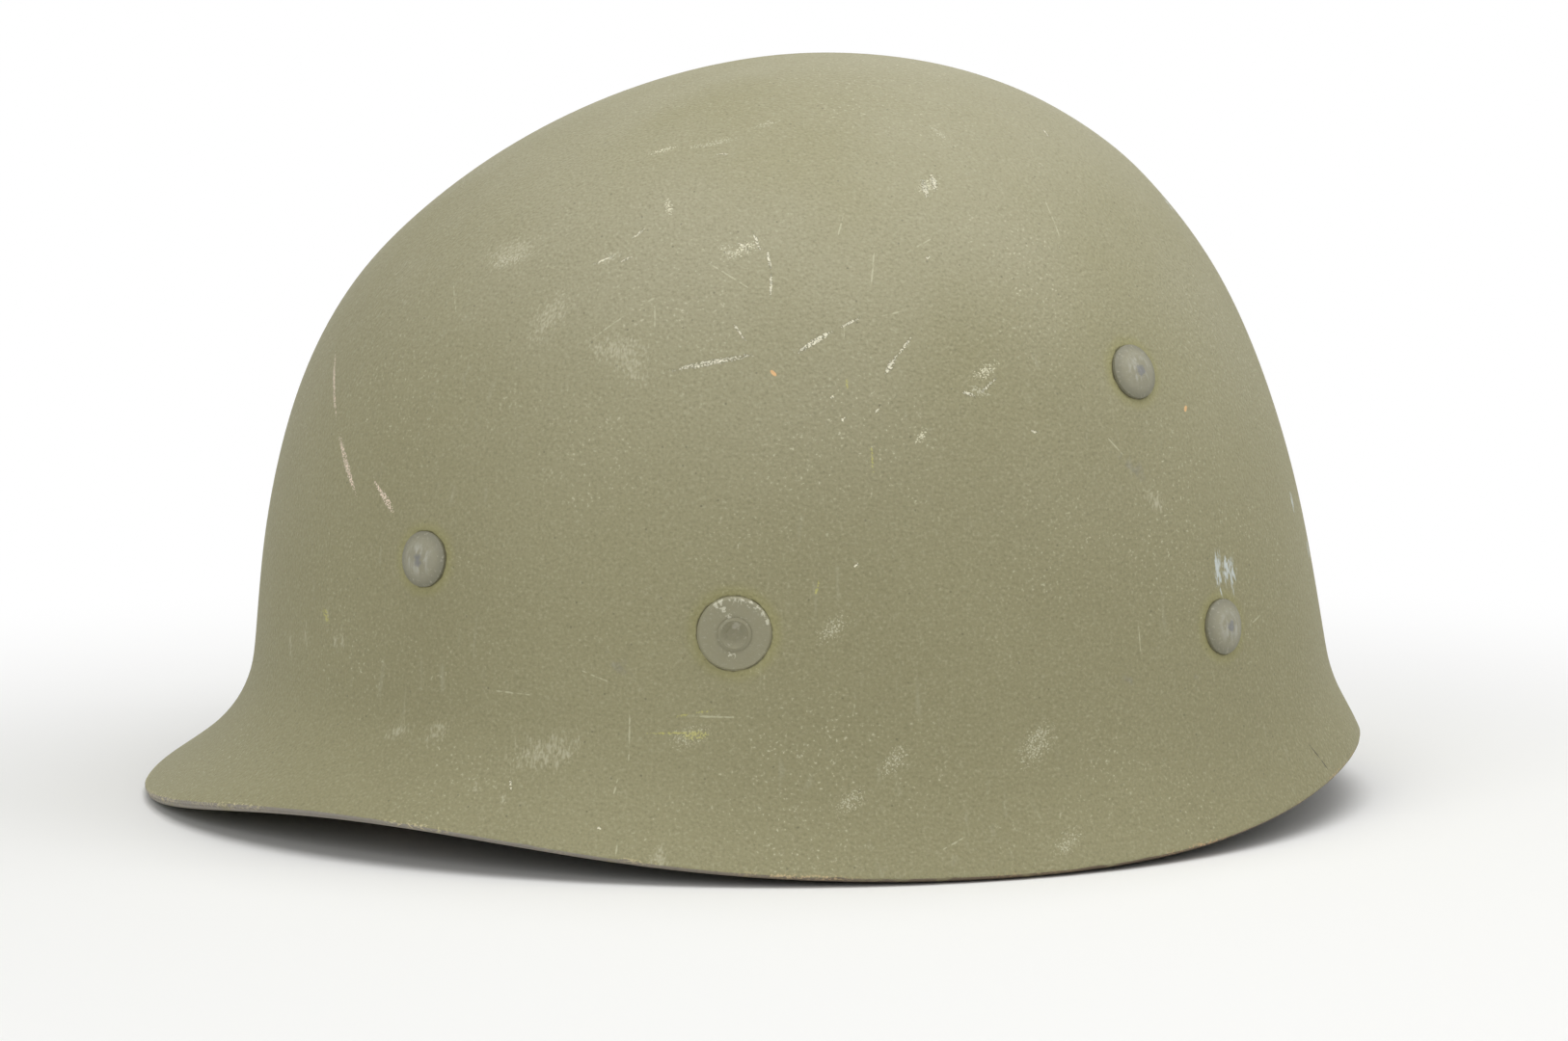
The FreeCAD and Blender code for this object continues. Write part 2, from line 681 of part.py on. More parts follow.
def webbing_loop(place, target):
    """Webbing folded round the hanger's bar, its tail sewn to the band at the target depth."""
    thick, air = size("webbing_thick"), size("sewn_gap")
    back = bar_back - air - thick
    front = bar_front + air + thick
    fold = (front - back) / 2
    fold_centre = bar_foot - air - thick + fold
    crossing = slot_foot + air + thick
    tail_top = bar_foot + size("tab_tail") + size("tab_seam")
    seam_foot = tail_top - size("tab_seam")
    reach = Size.of(target)
    outline = [(fold_centre, -back), (fold_centre, -front), (crossing + 1, -front),
               (seam_foot, -reach), (tail_top, -reach), (tail_top, -(reach - thick * 2)),
               (seam_foot, -(reach - thick * 2)), (slot_top + 1, -(bar_front + air)),
               (crossing, -(bar_front + air)), (crossing, -back)]
    arcs = {0: ((fold_centre, -(back + fold)), True)}
    body = padded(f"{place}_loop_pad", "YZ_Plane", outline, size("tab_width"), arcs)
    eye = rectangle(bar_foot - air, -(bar_front + air), slot_foot + air, -(bar_back - air))
    pocketed(body, "YZ_Plane", eye, size("tab_width") * 2)
    body.Placement = inside_frame(place)
    both_sides(body, place.replace("rivet", "loop"))


def band_gap(angle):
    """Air between the shell's inside, at the wall's foot, and the head band."""
    ends, side = number("band_gap_ends"), number("band_gap_side")
    return blend(ends, side, ends, angle)


def band_point(angle, rise, inset):
    """Point on the head band: rise up its lean from its middle, inset from its outer face."""
    foot, normal = foot_ring(angle)
    middle = number("band_height") - number("band_tilt") * foot.x
    lean = math.radians(number("band_lean"))
    deep = number("shell_thick") + band_gap(angle) + inset / math.cos(lean) + rise * math.sin(lean)
    return foot - normal * deep + Vector(0, 0, middle + rise * math.cos(lean))


def closed_band(rise, width, inset, thick):
    """Flat band bent into a ring that follows the inside of the shell."""
    angles = [2 * math.pi * step / POINTS_ROUND for step in range(POINTS_ROUND)]
    corners = []
    for side, deep in ((-1, 0), (1, 0), (1, thick), (-1, thick)):
        points = [band_point(angle, rise + side * width / 2, inset + deep) for angle in angles]
        corners.append(ring_curve(points).toShape())
    faces = [Part.makeRuledSurface(first, second) for first, second in zip(corners, corners[1:] + corners[:1])]
    return closed_solid(faces)


webbing = number("webbing_thick")
leather = number("sweatband_thick")
sweatband_inset = webbing + number("sweatband_gap")
keep(feature_of(closed_band(0, number("band_width"), 0, webbing), "head_band_ring"), "head_band")
sweatband = closed_band(0, number("band_width"), sweatband_inset, leather)
keep(feature_of(sweatband, "sweatband_ring"), "sweatband")


# Crown straps

def strap_section(middle, along, across, width, thick):
    """Rectangle across a strap at a point of its middle line."""
    outside = along.cross(across).normalize()
    corners = [middle + across * (width / 2 * side) + outside * (thick / 2 * face)
               for side, face in ((-1, -1), (1, -1), (1, 1), (-1, 1))]
    return Part.makePolygon(corners + corners[:1])


def strap_end(angle, rise):
    """Middle of a strap sewn to the outside of the head band, and the band's direction there."""
    air = number("sewn_gap") * 1.5 + webbing / 2
    point = band_point(angle, rise, -air)
    step = 0.02
    along = (band_point(angle + step, rise, -air) - band_point(angle - step, rise, -air)).normalize()
    return point, Vector(along.x, along.y, 0).normalize()


def crown_strap(start_angle, end_angle, layer):
    """Strap from the head band over the crown and down to the band again, twisted to lie on it."""
    width = number("crown_strap_width")
    top = number("crown_height") - number("shell_thick") - number("crown_gap") - webbing / 2
    top -= layer * (webbing + number("crown_step"))
    half_band = number("band_width") / 2
    ends = [strap_end(angle, half_band) for angle in (start_angle, end_angle)]
    lows = [strap_end(angle, 0) for angle in (start_angle, end_angle)]
    run = ends[1][0] - ends[0][0]
    level = Vector(run.x, run.y, 0)
    across_top = Vector(-level.y, level.x, 0).normalize()
    centre = (ends[0][0] + ends[1][0]) / 2
    sections = []
    for step in range(CROWN_STEPS + 1):
        turn = math.pi * step / CROWN_STEPS
        at_end = 0 if step * 2 < CROWN_STEPS else 1
        base = ends[at_end][0].z
        middle = centre - level / 2 * math.cos(turn)
        middle.z = base + (top - base) * math.sin(turn)
        along = level / 2 * math.sin(turn) + Vector(0, 0, (top - base) * math.cos(turn))
        side = ends[at_end][1]
        side = side if side.dot(across_top) > 0 else side * -1
        twist = abs(math.cos(turn)) ** 3
        across = (across_top * (1 - twist) + side * twist).normalize()
        sections.append(strap_section(middle, along.normalize(), across, width, webbing))
    feet = []
    for (low, _), (high, side), rising in zip(lows, ends, (1, -1)):
        side = side if side.dot(across_top) > 0 else side * -1
        along = (high - low).normalize() * rising
        across = (side - along * side.dot(along)).normalize()
        feet.append(strap_section(low, along, across, width, webbing))
    loft = Part.makeLoft([feet[0]] + sections + [feet[1]], True, False)
    return loft


for name, (start_angle, end_angle, layer) in CROWN_STRAPS.items():
    strap = crown_strap(math.radians(start_angle), math.radians(end_angle), layer)
    keep(feature_of(strap, f"{name}_loft"), name)


# Hangers with their loops

def reach_to(place, piece):
    """Least distance inwards from a rivet's seat to a piece that passes, over the loop's seam."""
    frame = inside_frame(place)
    inwards = frame.Rotation.multVec(Vector(0, 0, -1)) * number("crown_height")
    seam_foot = bar_foot.value + number("tab_tail")
    steps = [step / SEAM_STEPS for step in range(SEAM_STEPS + 1)]
    distances = []
    for across in [number("tab_width") * (step - 0.5) for step in steps]:
        for up in [seam_foot + number("tab_seam") * step for step in steps]:
            start = frame.multVec(Vector(across, up, 0))
            hit = Part.makeLine(start, start + inwards).common(piece.Shape)
            distances += [start.distanceToPoint(vertex.Point) for vertex in hit.Vertexes]
    return min(distances)


sewn = number("sewn_gap")
LOOP_CARRIES = {"front_rivet": "crown_strap_left", "rear_rivet": "crown_strap_right", "nape_rivet": "head_band"}
for place, carried in LOOP_CARRIES.items():
    piece = next(item for item in nodes if item.Label == carried)
    target = derive(f"{place}_reach", reach_to(place, piece) - sewn * 2, "shell to the seam of the webbing loop")
    hanger(place)
    webbing_loop(place, target)


# Patch, clips and keeper

def crown_patch():
    """Square patch with cut corners over the crossing of the crown straps."""
    half, corner = size("patch_side") / 2, size("patch_side") / 10
    outline = [(half - corner, -half), (half, corner - half), (half, half - corner), (half - corner, half),
               (corner - half, half), (-half, half - corner), (-half, corner - half), (corner - half, -half)]
    body = padded("crown_patch_pad", "XY_Plane", outline, size("webbing_thick"))
    top = number("crown_height") - number("shell_thick") - number("crown_gap")
    body.Placement = Placement(Vector(number("widest_back"), 0, top + sewn + webbing / 2), Rotation())
    keep(body, "crown_patch")


def band_frame(angle):
    """Placement on the head band's outer face at its middle: Z outwards, Y up the band."""
    low, high = band_point(angle, -1, 0), band_point(angle, 1, 0)
    up = (high - low).normalize()
    along = band_point(angle + 0.02, 0, 0) - band_point(angle - 0.02, 0, 0)
    out = along.cross(up).normalize()
    out = out if out.dot(foot_ring(angle)[1]) > 0 else out * -1
    return Placement(band_point(angle, 0, 0), Rotation(up.cross(out), up, out, "ZXY"))


def spring_clips():
    """Spring clips bent over the top edges of head band and sweatband, eight in all."""
    air, sheet_thick = size("sewn_gap") * 1.6, size("clip_thick")
    slant = size("clip_width") * size("band_tilt") / 2
    top = size("band_width") / 2 + slant + air
    foot = top - size("clip_leg")
    near = air
    far = -(size("webbing_thick") + size("sweatband_gap") + size("sweatband_thick") + air)
    outline = [(foot, near), (foot, near + sheet_thick), (top + sheet_thick, near + sheet_thick),
               (top + sheet_thick, far - sheet_thick), (foot, far - sheet_thick), (foot, far),
               (top, far), (top, near)]
    clip = padded("spring_clip", "YZ_Plane", outline, size("clip_width"))
    doc.recompute()
    copies = []
    for degrees in CLIP_ANGLES:
        for angle in (math.radians(degrees), math.radians(360 - degrees)):
            copies.append(clip.Shape.copy())
            copies[-1].Placement = band_frame(angle)
    keep(feature_of(Part.Compound(copies), "spring_clip_set"), "spring_clips")


def keeper():
    """Loop round the sweatband behind the head, where its ends overlap."""
    air, wire = size("sewn_gap") * 2, size("keeper_thick")
    half = size("band_width") / 2 + air
    outer = -(size("webbing_thick") + size("sweatband_gap") - air)
    inner = outer - size("sweatband_thick") - air * 2
    body = padded("keeper_pad", "YZ_Plane",
                  rectangle(-half - wire, inner - wire, half + wire, outer + wire), size("keeper_width"))
    pocketed(body, "YZ_Plane", rectangle(-half, inner, half, outer), size("keeper_width") * 2)
    body.Placement = band_frame(math.pi)
    keep(body, "sweatband_keeper")


crown_patch()
spring_clips()
keeper()


# Chin strap, shown tucked up behind the visor

hook_back = size("shell_thick") + size("stud_collar_thick") + size("side_play")
half_span = derive("stud_half_span", abs(stud_frame().Base.y), "stud's seat to the middle plane")
leg_out = half_span - hook_back - size("hook_thick")
lean = math.radians(number("chin_leg_lean"))
lean_sin = derive("chin_lean_sine", math.sin(lean), "sine of the strap's lean")
lean_cos = derive("chin_lean_cosine", math.cos(lean), "cosine of the strap's lean")
leg_start = size("hook_start")
bend_start_out = leg_out - size("chin_leg") * lean_sin
bend_start_down = leg_start + size("chin_leg") * lean_cos
bend_centre_out = bend_start_out - size("chin_bend_radius") * lean_cos
bend_centre_down = bend_start_down - size("chin_bend_radius") * lean_sin
strap_bottom = bend_centre_down + size("chin_bend_radius")


def strap_frame():
    """Placement of the tucked strap: X across the helmet, Y down the strap, Z across the leather."""
    axis = stud_frame().Base
    angle = math.radians(number("chin_rest_angle"))
    down = Vector(-math.cos(angle), 0, -math.sin(angle))
    across = Vector(0, 1, 0)
    return Placement(Vector(axis.x, 0, axis.z), Rotation(across, down, across.cross(down), "ZXY"))


def leather_side(inset, sign):
    """Corners of one side of the strap, from its end down to the bottom, at an inset from its outside."""
    out, down = inset * lean_cos, inset * lean_sin
    return [((leg_out - out) * sign, leg_start - down),
            ((bend_start_out - out) * sign, bend_start_down - down),
            (bend_centre_out * sign, strap_bottom - inset)]


def hook_rivet_place():
    """Placement of the left hook's rivet in the strap's frame: Z out through leather and tongue."""
    along = Vector(lean_sin.value, lean_cos.value, 0)
    outside = Vector(-lean_cos.value, lean_sin.value, 0)
    reach = (number("hook_tongue") - number("hook_start")) / 2
    point = Vector(-leg_out.value, leg_start.value, 0) + along * reach
    return Placement(point, Rotation(along.cross(outside), along, outside, "ZXY"))


def hook_drill():
    """Drill through the left end of the leather and the hook's tongue."""
    drill = doc.addObject("Part::Cylinder", "hook_drill")
    drill.setExpression("Radius", size("hook_rivet_radius").formula)
    drill.setExpression("Height", (size("chin_thick") * 4).formula)
    centred = Placement(Vector(0, 0, -2 * number("chin_thick")), Rotation())
    drill.Placement = strap_frame().multiply(hook_rivet_place()).multiply(centred)
    return drill


def chin_strap(drill):
    """Leather strap: straight legs, wide bends and a straight bottom, pierced for its hook rivets."""
    thick = size("chin_thick")
    outside = leather_side(Size.of(0), 1) + leather_side(Size.of(0), -1)[::-1]
    inside = leather_side(thick, -1) + leather_side(thick, 1)[::-1]
    centre = (bend_centre_out, bend_centre_down)
    mirrored = (-bend_centre_out, bend_centre_down)
    arcs = {1: (centre, False), 3: (mirrored, False), 7: (mirrored, True), 9: (centre, True)}
    body = padded("chin_strap_pad", "XY_Plane", outside + inside, size("chin_width"), arcs)
    body.Placement = strap_frame()
    opposite = doc.addObject("Part::Mirroring", "hook_drill_opposite")
    opposite.Source = drill
    opposite.Normal = Vector(0, 1, 0)
    tool = doc.addObject("Part::MultiFuse", "hook_drills")
    tool.Shapes = [drill, opposite]
    cut = doc.addObject("Part::Cut", "chin_strap_pierced")
    cut.Base = body
    cut.Tool = tool
    keep(cut, "chin_strap")


def chin_hook(drill):
    """Pressed hook: an eye on the stud's neck and a tongue bent along the leather."""
    thick, eye = size("hook_thick"), size("hook_radius")
    outer, inner = -hook_back, -(hook_back + thick)
    tongue = size("hook_tongue") - leg_start
    tip_down, tip_in = leg_start + tongue * lean_cos, inner - tongue * lean_sin
    profile = [(-eye, outer), (-eye, inner), (leg_start, inner), (tip_down, tip_in),
               (tip_down + thick * lean_sin, tip_in + thick * lean_cos), (leg_start, outer)]
    body = padded("chin_hook_plate", "YZ_Plane", profile, eye * 2)
    half, deep = size("hook_tongue_width") / 2, size("hook_tongue") * 2
    for side in (1, -1):
        waste = [((eye + 1) * side, -eye - 1), (eye * 0.5 * side, -eye - 1), (eye * 0.5 * side, -eye * 0.87),
                 (eye * 0.87 * side, -eye * 0.5), (eye * side, eye * 0.1), (half * side, leg_start),
                 (half * side, size("hook_tongue") + 1), ((eye + 1) * side, size("hook_tongue") + 1)]
        pocketed(body, "XY_Plane", waste, deep)
    drilled(body, size("stud_neck_radius") + size("running_gap"), deep)
    turn = strap_frame().Rotation.multVec(Vector(0, 1, 0))
    out = Vector(0, -1, 0)
    body.Placement = Placement(stud_frame().Base, Rotation(turn.cross(out), turn, out, "ZXY"))
    cut = doc.addObject("Part::Cut", "chin_hook_pierced")
    cut.Base = body
    cut.Tool = drill
    both_sides(cut, "chin_hook")


def hook_rivet():
    """Small rivet that holds the hook's tongue on the leather."""
    shank, head, rise = size("hook_rivet_radius"), size("hook_rivet_head"), size("hook_rivet_rise")
    top, foot = size("hook_thick"), -size("chin_thick")
    outline = [(0, foot - rise), (head * 0.6, foot - rise), (head, foot), (shank, foot),
               (shank, top), (head, top), (head * 0.6, top + rise), (0, top + rise)]
    body = turned("hook_rivet_turned", outline)
    body.Placement = strap_frame().multiply(hook_rivet_place())
    both_sides(body, "hook_rivet")


def chin_buckle():
    """Flat sliding buckle: a frame on each face of the leather, joined at its edges."""
    play, wall, bar = size("buckle_play"), size("buckle_thick"), size("buckle_frame")
    thick_half, width_half = size("chin_thick") / 2 + play, size("chin_width") / 2 + play
    length = size("buckle_length")
    body = padded("chin_buckle_pad", "YZ_Plane",
                  rectangle(-thick_half - wall, -width_half - wall, thick_half + wall, width_half + wall),
                  length)
    pocketed(body, "YZ_Plane", rectangle(-thick_half, -width_half, thick_half, width_half), length * 2)
    window, half = length / 2 - bar, width_half - bar * 0.5
    pocketed(body, "XZ_Plane", rectangle(-window, -half, -bar / 2, half), size("chin_thick") * 8)
    pocketed(body, "XZ_Plane", rectangle(bar / 2, -half, window, half), size("chin_thick") * 8)
    place = Vector(number("buckle_offset"), strap_bottom.value - number("chin_thick") / 2, 0)
    body.Placement = strap_frame().multiply(Placement(place, Rotation()))
    keep(body, "chin_buckle")


tongue_drill = hook_drill()
chin_strap(tongue_drill)
chin_hook(tongue_drill)
hook_rivet()
chin_buckle()


# Checks and files

doc.recompute()
failed = [item.Label for item in doc.Objects if "Invalid" in item.State or "Error" in item.State]
failed += [item.Label for item in nodes if item.Shape.isNull() or not item.Shape.isValid()]
if failed:
    raise ValueError(f"these did not build: {failed}")
os.makedirs("parts", exist_ok=True)
for item in nodes:
    item.Shape.exportStep(f"parts/{item.Label}.step")
    print(f"{item.Label}: {len(item.Shape.Solids)} solids, {item.Shape.Volume / 1000:.2f} cm3")
box = Part.Compound([item.Shape for item in nodes]).BoundBox
axis_place = stud_frame().Base
print(f"chin strap axis at x {axis_place.x:.3f}, z {axis_place.z:.3f}")
print(f"size {box.XLength:.1f} x {box.YLength:.1f} x {box.ZLength:.1f} mm, lowest point {box.ZMin:.2f}")
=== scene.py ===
"""The looks of a riveted pot helmet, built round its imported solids.

Lengths are metres. The visor points to -X, the wearer's left is -Y and the floor lies at z = 0.
Marks on the paint are placed by pixels of the photograph, and lie on the shell that carries them.
"""

import logging
import math
from dataclasses import dataclass, field, replace
from enum import Enum
from functools import cached_property
from typing import Any, Iterable

import bmesh
import bpy
import numpy as np
from mathutils import Matrix, Vector, noise
from mathutils.bvhtree import BVHTree


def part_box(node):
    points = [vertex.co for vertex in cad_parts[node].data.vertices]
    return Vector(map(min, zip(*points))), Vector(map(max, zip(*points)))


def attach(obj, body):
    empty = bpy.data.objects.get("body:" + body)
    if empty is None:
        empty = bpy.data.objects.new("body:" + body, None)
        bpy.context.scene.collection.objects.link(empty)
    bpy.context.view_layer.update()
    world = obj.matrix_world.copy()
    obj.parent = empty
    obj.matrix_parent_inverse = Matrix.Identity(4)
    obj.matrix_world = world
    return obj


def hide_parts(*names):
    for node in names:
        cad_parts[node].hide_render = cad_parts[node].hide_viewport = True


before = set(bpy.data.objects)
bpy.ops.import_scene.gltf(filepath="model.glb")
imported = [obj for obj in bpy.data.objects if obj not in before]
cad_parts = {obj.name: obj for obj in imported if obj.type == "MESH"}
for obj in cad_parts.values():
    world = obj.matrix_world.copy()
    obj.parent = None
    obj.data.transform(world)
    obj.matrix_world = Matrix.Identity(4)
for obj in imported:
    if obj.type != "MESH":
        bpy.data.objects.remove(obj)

log = logging.getLogger("helmet")

MM = 0.001
SIDES = ("left", "right")
PLACES = ("front", "rear", "nape")
MIDDLE_X = 0.0085
ALONG_X, ALONG_Y, ALONG_Z = np.eye(3)
WHITE = (1.0, 1.0, 1.0)
Triple = tuple[float, float, float]
Face = tuple[int, ...]


def paired(stem: str) -> list[str]:
    """Names of the left and the right node of a pair."""
    return [f"{stem}_{side}" for side in SIDES]


def middle_of(node: str) -> Vector:
    """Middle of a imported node's box."""
    low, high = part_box(node)
    return (low + high) / 2


def placed(name: str, data: bpy.types.ID) -> bpy.types.Object:
    """Makes an object and adds it to the scene.

    Args:
        name: Name of the object.
        data: Its mesh, lamp or camera.

    Returns:
        The new object.
    """
    made = bpy.data.objects.new(name, data)
    bpy.context.scene.collection.objects.link(made)
    return made


# The photograph's view

@dataclass(frozen=True)
class PhotoView:
    """Camera that sees the helmet as the photograph does."""

    width: int = 1626
    height: int = 1080
    focal: float = 7752.0
    pitch: float = 8.5
    place: Triple = (0.00724, -1.6723, 0.3114)
    sensor: float = 36.0

    def build(self) -> None:
        """Makes the camera and gives it to the scene."""
        lens = bpy.data.cameras.new("photo_camera")
        lens.sensor_width = self.sensor
        lens.lens = self.focal / self.width * self.sensor
        camera = placed("photo_camera", lens)
        camera.location = self.place
        camera.rotation_euler = (math.radians(90 - self.pitch), 0, 0)
        bpy.context.scene.camera = camera

    def ray(self, x: float, y: float) -> tuple[Vector, Vector]:
        """Line of sight through a pixel.

        Args:
            x: Pixel across, from the left.
            y: Pixel down, from the top.

        Returns:
            The camera's place and the direction of the line.
        """
        tilt = math.radians(self.pitch)
        ahead = Vector((0, math.cos(tilt), -math.sin(tilt)))
        up = Vector((0, math.sin(tilt), math.cos(tilt)))
        right = Vector((1, 0, 0))
        line = ahead * self.focal + right * (x - self.width / 2) + up * (self.height / 2 - y)
        return Vector(self.place), line.normalized()


VIEW = PhotoView()


# Shader maths

class Signal:
    """A shader socket that takes part in sums."""

    def __init__(self, recipe: "Recipe", socket: bpy.types.NodeSocket | None) -> None:
        """Wraps an output socket of the recipe's node tree."""
        self.recipe = recipe
        self.socket = socket

    def maths(self, operation: str, *values: "Signal | float") -> "Signal":
        """Adds a Math node whose inputs are the values, in order."""
        return self.recipe.node("Math", {"operation": operation}, dict(enumerate(values)))

    def __add__(self, other: "Signal | float") -> "Signal":
        """Sum."""
        return self.maths("ADD", self, other)

    def __sub__(self, other: "Signal | float") -> "Signal":
        """Difference."""
        return self.maths("SUBTRACT", self, other)

    def __rsub__(self, other: float) -> "Signal":
        """Difference from a number."""
        return self.maths("SUBTRACT", other, self)

    def __mul__(self, other: "Signal | float") -> "Signal":
        """Product."""
        return self.maths("MULTIPLY", self, other)

    def __mod__(self, other: "Signal | float") -> "Signal":
        """Remainder that is never negative."""
        return self.maths("FLOORED_MODULO", self, other)

    def __abs__(self) -> "Signal":
        """Size without its sign."""
        return self.maths("ABSOLUTE", self)

    __radd__ = __add__
    __rmul__ = __mul__

    def least(self, other: "Signal | float") -> "Signal":
        """The smaller of two."""
        return self.maths("MINIMUM", self, other)

    def most(self, other: "Signal | float") -> "Signal":
        """The larger of two."""
        return self.maths("MAXIMUM", self, other)

    def sine(self) -> "Signal":
        """Sine of an angle in radians."""
        return self.maths("SINE", self)

    def step(self, low: float, high: float) -> "Signal":
        """Smooth step from 0 at low to 1 at high, where low may be the larger."""
        values = {"Value": self, "From Min": low, "From Max": high}
        return self.recipe.node("MapRange", {"interpolation_type": "SMOOTHSTEP"}, values)

    def beside(self, output: str) -> "Signal":
        """Another output of the same node."""
        return Signal(self.recipe, self.socket.node.outputs[output])


class Recipe:
    """A material, or the world, while its nodes are made."""

    def __init__(self, made: bpy.types.Material | bpy.types.World) -> None:
        """Starts with no nodes.

        Args:
            made: The material or the world.
        """
        made.use_nodes = True
        self.made = made
        self.tree = made.node_tree
        self.tree.nodes.clear()

    @classmethod
    def of(cls, name: str) -> "Recipe":
        """Starts a new material of that name."""
        return cls(bpy.data.materials.new(name))

    @cached_property
    def place(self) -> Signal:
        """The piece's own coordinates."""
        return self.node("TexCoord", output="Object")

    @cached_property
    def folded(self) -> Signal:
        """The piece's own coordinates, with its right half folded onto the left."""
        x, y, z = self.coordinates
        return self.joined(x, abs(y) * -1, z)

    @cached_property
    def coordinates(self) -> tuple[Signal, ...]:
        """The three numbers of the piece's own coordinates."""
        return self.split(self.place)

    def node(self, kind: str, settings: dict[str, Any] | None = None,
             values: dict[Any, Any] | None = None, output: str | int = 0) -> Signal:
        """Adds a node of any type.

        Args:
            kind: Type of the node, without the word ShaderNode.
            settings: Properties that are set first.
            values: Numbers, colours or signals for its sockets, by name or index.
            output: Socket that the returned signal reads.

        Returns:
            The signal of that output.
        """
        made = self.tree.nodes.new(f"ShaderNode{kind}")
        for name, value in (settings or {}).items():
            setattr(made, name, value)
        for key, value in (values or {}).items():
            if isinstance(value, Signal):
                self.tree.links.new(value.socket, made.inputs[key])
            elif isinstance(value, tuple) and made.inputs[key].type == "RGBA":
                made.inputs[key].default_value = (*value, 1.0)
            else:
                made.inputs[key].default_value = value
        return Signal(self, made.outputs[output] if made.outputs else None)

    def attribute(self, name: str) -> tuple[Signal, ...]:
        """The three numbers that a mesh carries under a name."""
        return self.split(self.node("Attribute", {"attribute_name": name}, output="Vector"))

    def split(self, vector: Signal) -> tuple[Signal, ...]:
        """The three numbers of a vector."""
        first = self.node("SeparateXYZ", values={0: vector})
        return tuple(first.beside(name) for name in "XYZ")

    def joined(self, x: Signal | float, y: Signal | float, z: Signal | float) -> Signal:
        """A vector of three numbers."""
        return self.node("CombineXYZ", values={0: x, 1: y, 2: z})

    def scaled(self, vector: Signal, factors: Triple) -> Signal:
        """A vector with each part multiplied by its own factor."""
        return self.node("VectorMath", {"operation": "MULTIPLY"}, {0: vector, 1: factors})

    def length(self, vector: Signal) -> Signal:
        """Length of a vector."""
        return self.node("VectorMath", {"operation": "LENGTH"}, {0: vector}, "Value")

    def distance(self, vector: Signal, point: Triple) -> Signal:
        """Distance from a point."""
        return self.node("VectorMath", {"operation": "DISTANCE"}, {0: vector, 1: point}, "Value")

    def noise(self, scale: float, detail: float = 2.0, at: Signal | None = None) -> Signal:
        """Cloudy noise from 0 to 1, with that many lumps per metre."""
        return self.node("TexNoise", values={"Vector": at or self.place, "Scale": scale, "Detail": detail})

    def cells(self, scale: float) -> Signal:
        """Distance to the nearest of scattered points, with that many of them per metre."""
        return self.node("TexVoronoi", values={"Vector": self.place, "Scale": scale})

    def mix(self, factor: Signal | float, first: Signal | Triple, second: Signal | Triple) -> Signal:
        """Colour between two colours, or between signals of colour."""
        settings = {"data_type": "RGBA", "clamp_factor": True}
        return self.node("Mix", settings, {0: factor, 6: first, 7: second}, 2)

    def bump(self, height: Signal, depth: float, under: Signal | None = None) -> Signal:
        """Normal of a relief that is depth metres high, laid over another relief if there is one."""
        values = {"Height": height, "Distance": depth, "Strength": 1.0}
        return self.node("Bump", values=values | ({"Normal": under} if under else {}))

    def seen(self) -> Signal:
        """1 on lines of sight, reflected and clear ones too, and 0 for light on its way to a surface."""
        camera = self.node("LightPath", output="Is Camera Ray")
        return camera.most(camera.beside("Is Glossy Ray")).most(camera.beside("Is Transmission Ray"))

    def end(self, shader: Signal, kind: str = "Material") -> None:
        """Joins a shader to the output, which is the material's unless the kind says World."""
        self.node(f"Output{kind}", values={"Surface": shader})

    def finish(self, values: dict[str, Any]) -> bpy.types.Material:
        """Ends the material with one Principled shader that has these values."""
        self.end(self.node("BsdfPrincipled", values=values))
        return self.made


# Marks on the paint

@dataclass(frozen=True)
class Break:
    """How a kind of mark breaks up: its colour and the noise that eats it."""

    colour: Triple
    grain: float
    cut: float
    strength: float
    soft: float = 0.06
    stretch: Triple = (1.0, 1.0, 1.0)
    core: float = 0.35


class MarkKind(Enum):
    """Kinds of mark that wear has left on the paint."""

    CHALK = Break((0.88, 0.84, 0.65), 3000.0, 0.44, 0.95)
    ROSE = Break((0.86, 0.71, 0.58), 3000.0, 0.46, 0.9)
    HAIR = Break((0.54, 0.52, 0.36), 600.0, 0.38, 0.6, 0.16)
    BRUSH = Break((0.58, 0.55, 0.40), 2000.0, 0.34, 0.50, 0.30, (1.0, 1.0, 0.35), 0.0)
    SPECKLE = Break((0.76, 0.73, 0.54), 3000.0, 0.47, 0.85, 0.10, core=0.0)
    DUST = Break((0.66, 0.64, 0.48), 2600.0, 0.45, 0.55, 0.14, core=0.0)
    YELLOW = Break((0.52, 0.49, 0.14), 2600.0, 0.45, 0.65)
    GREY = Break((0.235, 0.228, 0.195), 420.0, 0.34, 0.45, 0.35, core=0.0)
    WHITE = Break((0.62, 0.67, 0.66), 1700.0, 0.33, 0.8, 0.22, (1.0, 1.0, 0.25), 0.2)
    RUST = Break((0.80, 0.48, 0.22), 400.0, 0.15, 0.85)
    CRACK = Break((0.06, 0.05, 0.035), 400.0, 0.2, 0.95)


@dataclass(frozen=True)
class Mark:
    """A mark between two pixels of the photograph, width metres wide."""

    kind: MarkKind
    start: tuple[int, int]
    end: tuple[int, int]
    width: float


def marks_of(kind: MarkKind, width: float, *lines: tuple[int, int, int, int]) -> list[Mark]:
    """Marks of one kind and width, each from x, y to x, y."""
    return [Mark(kind, line[:2], line[2:], width * MM) for line in lines]


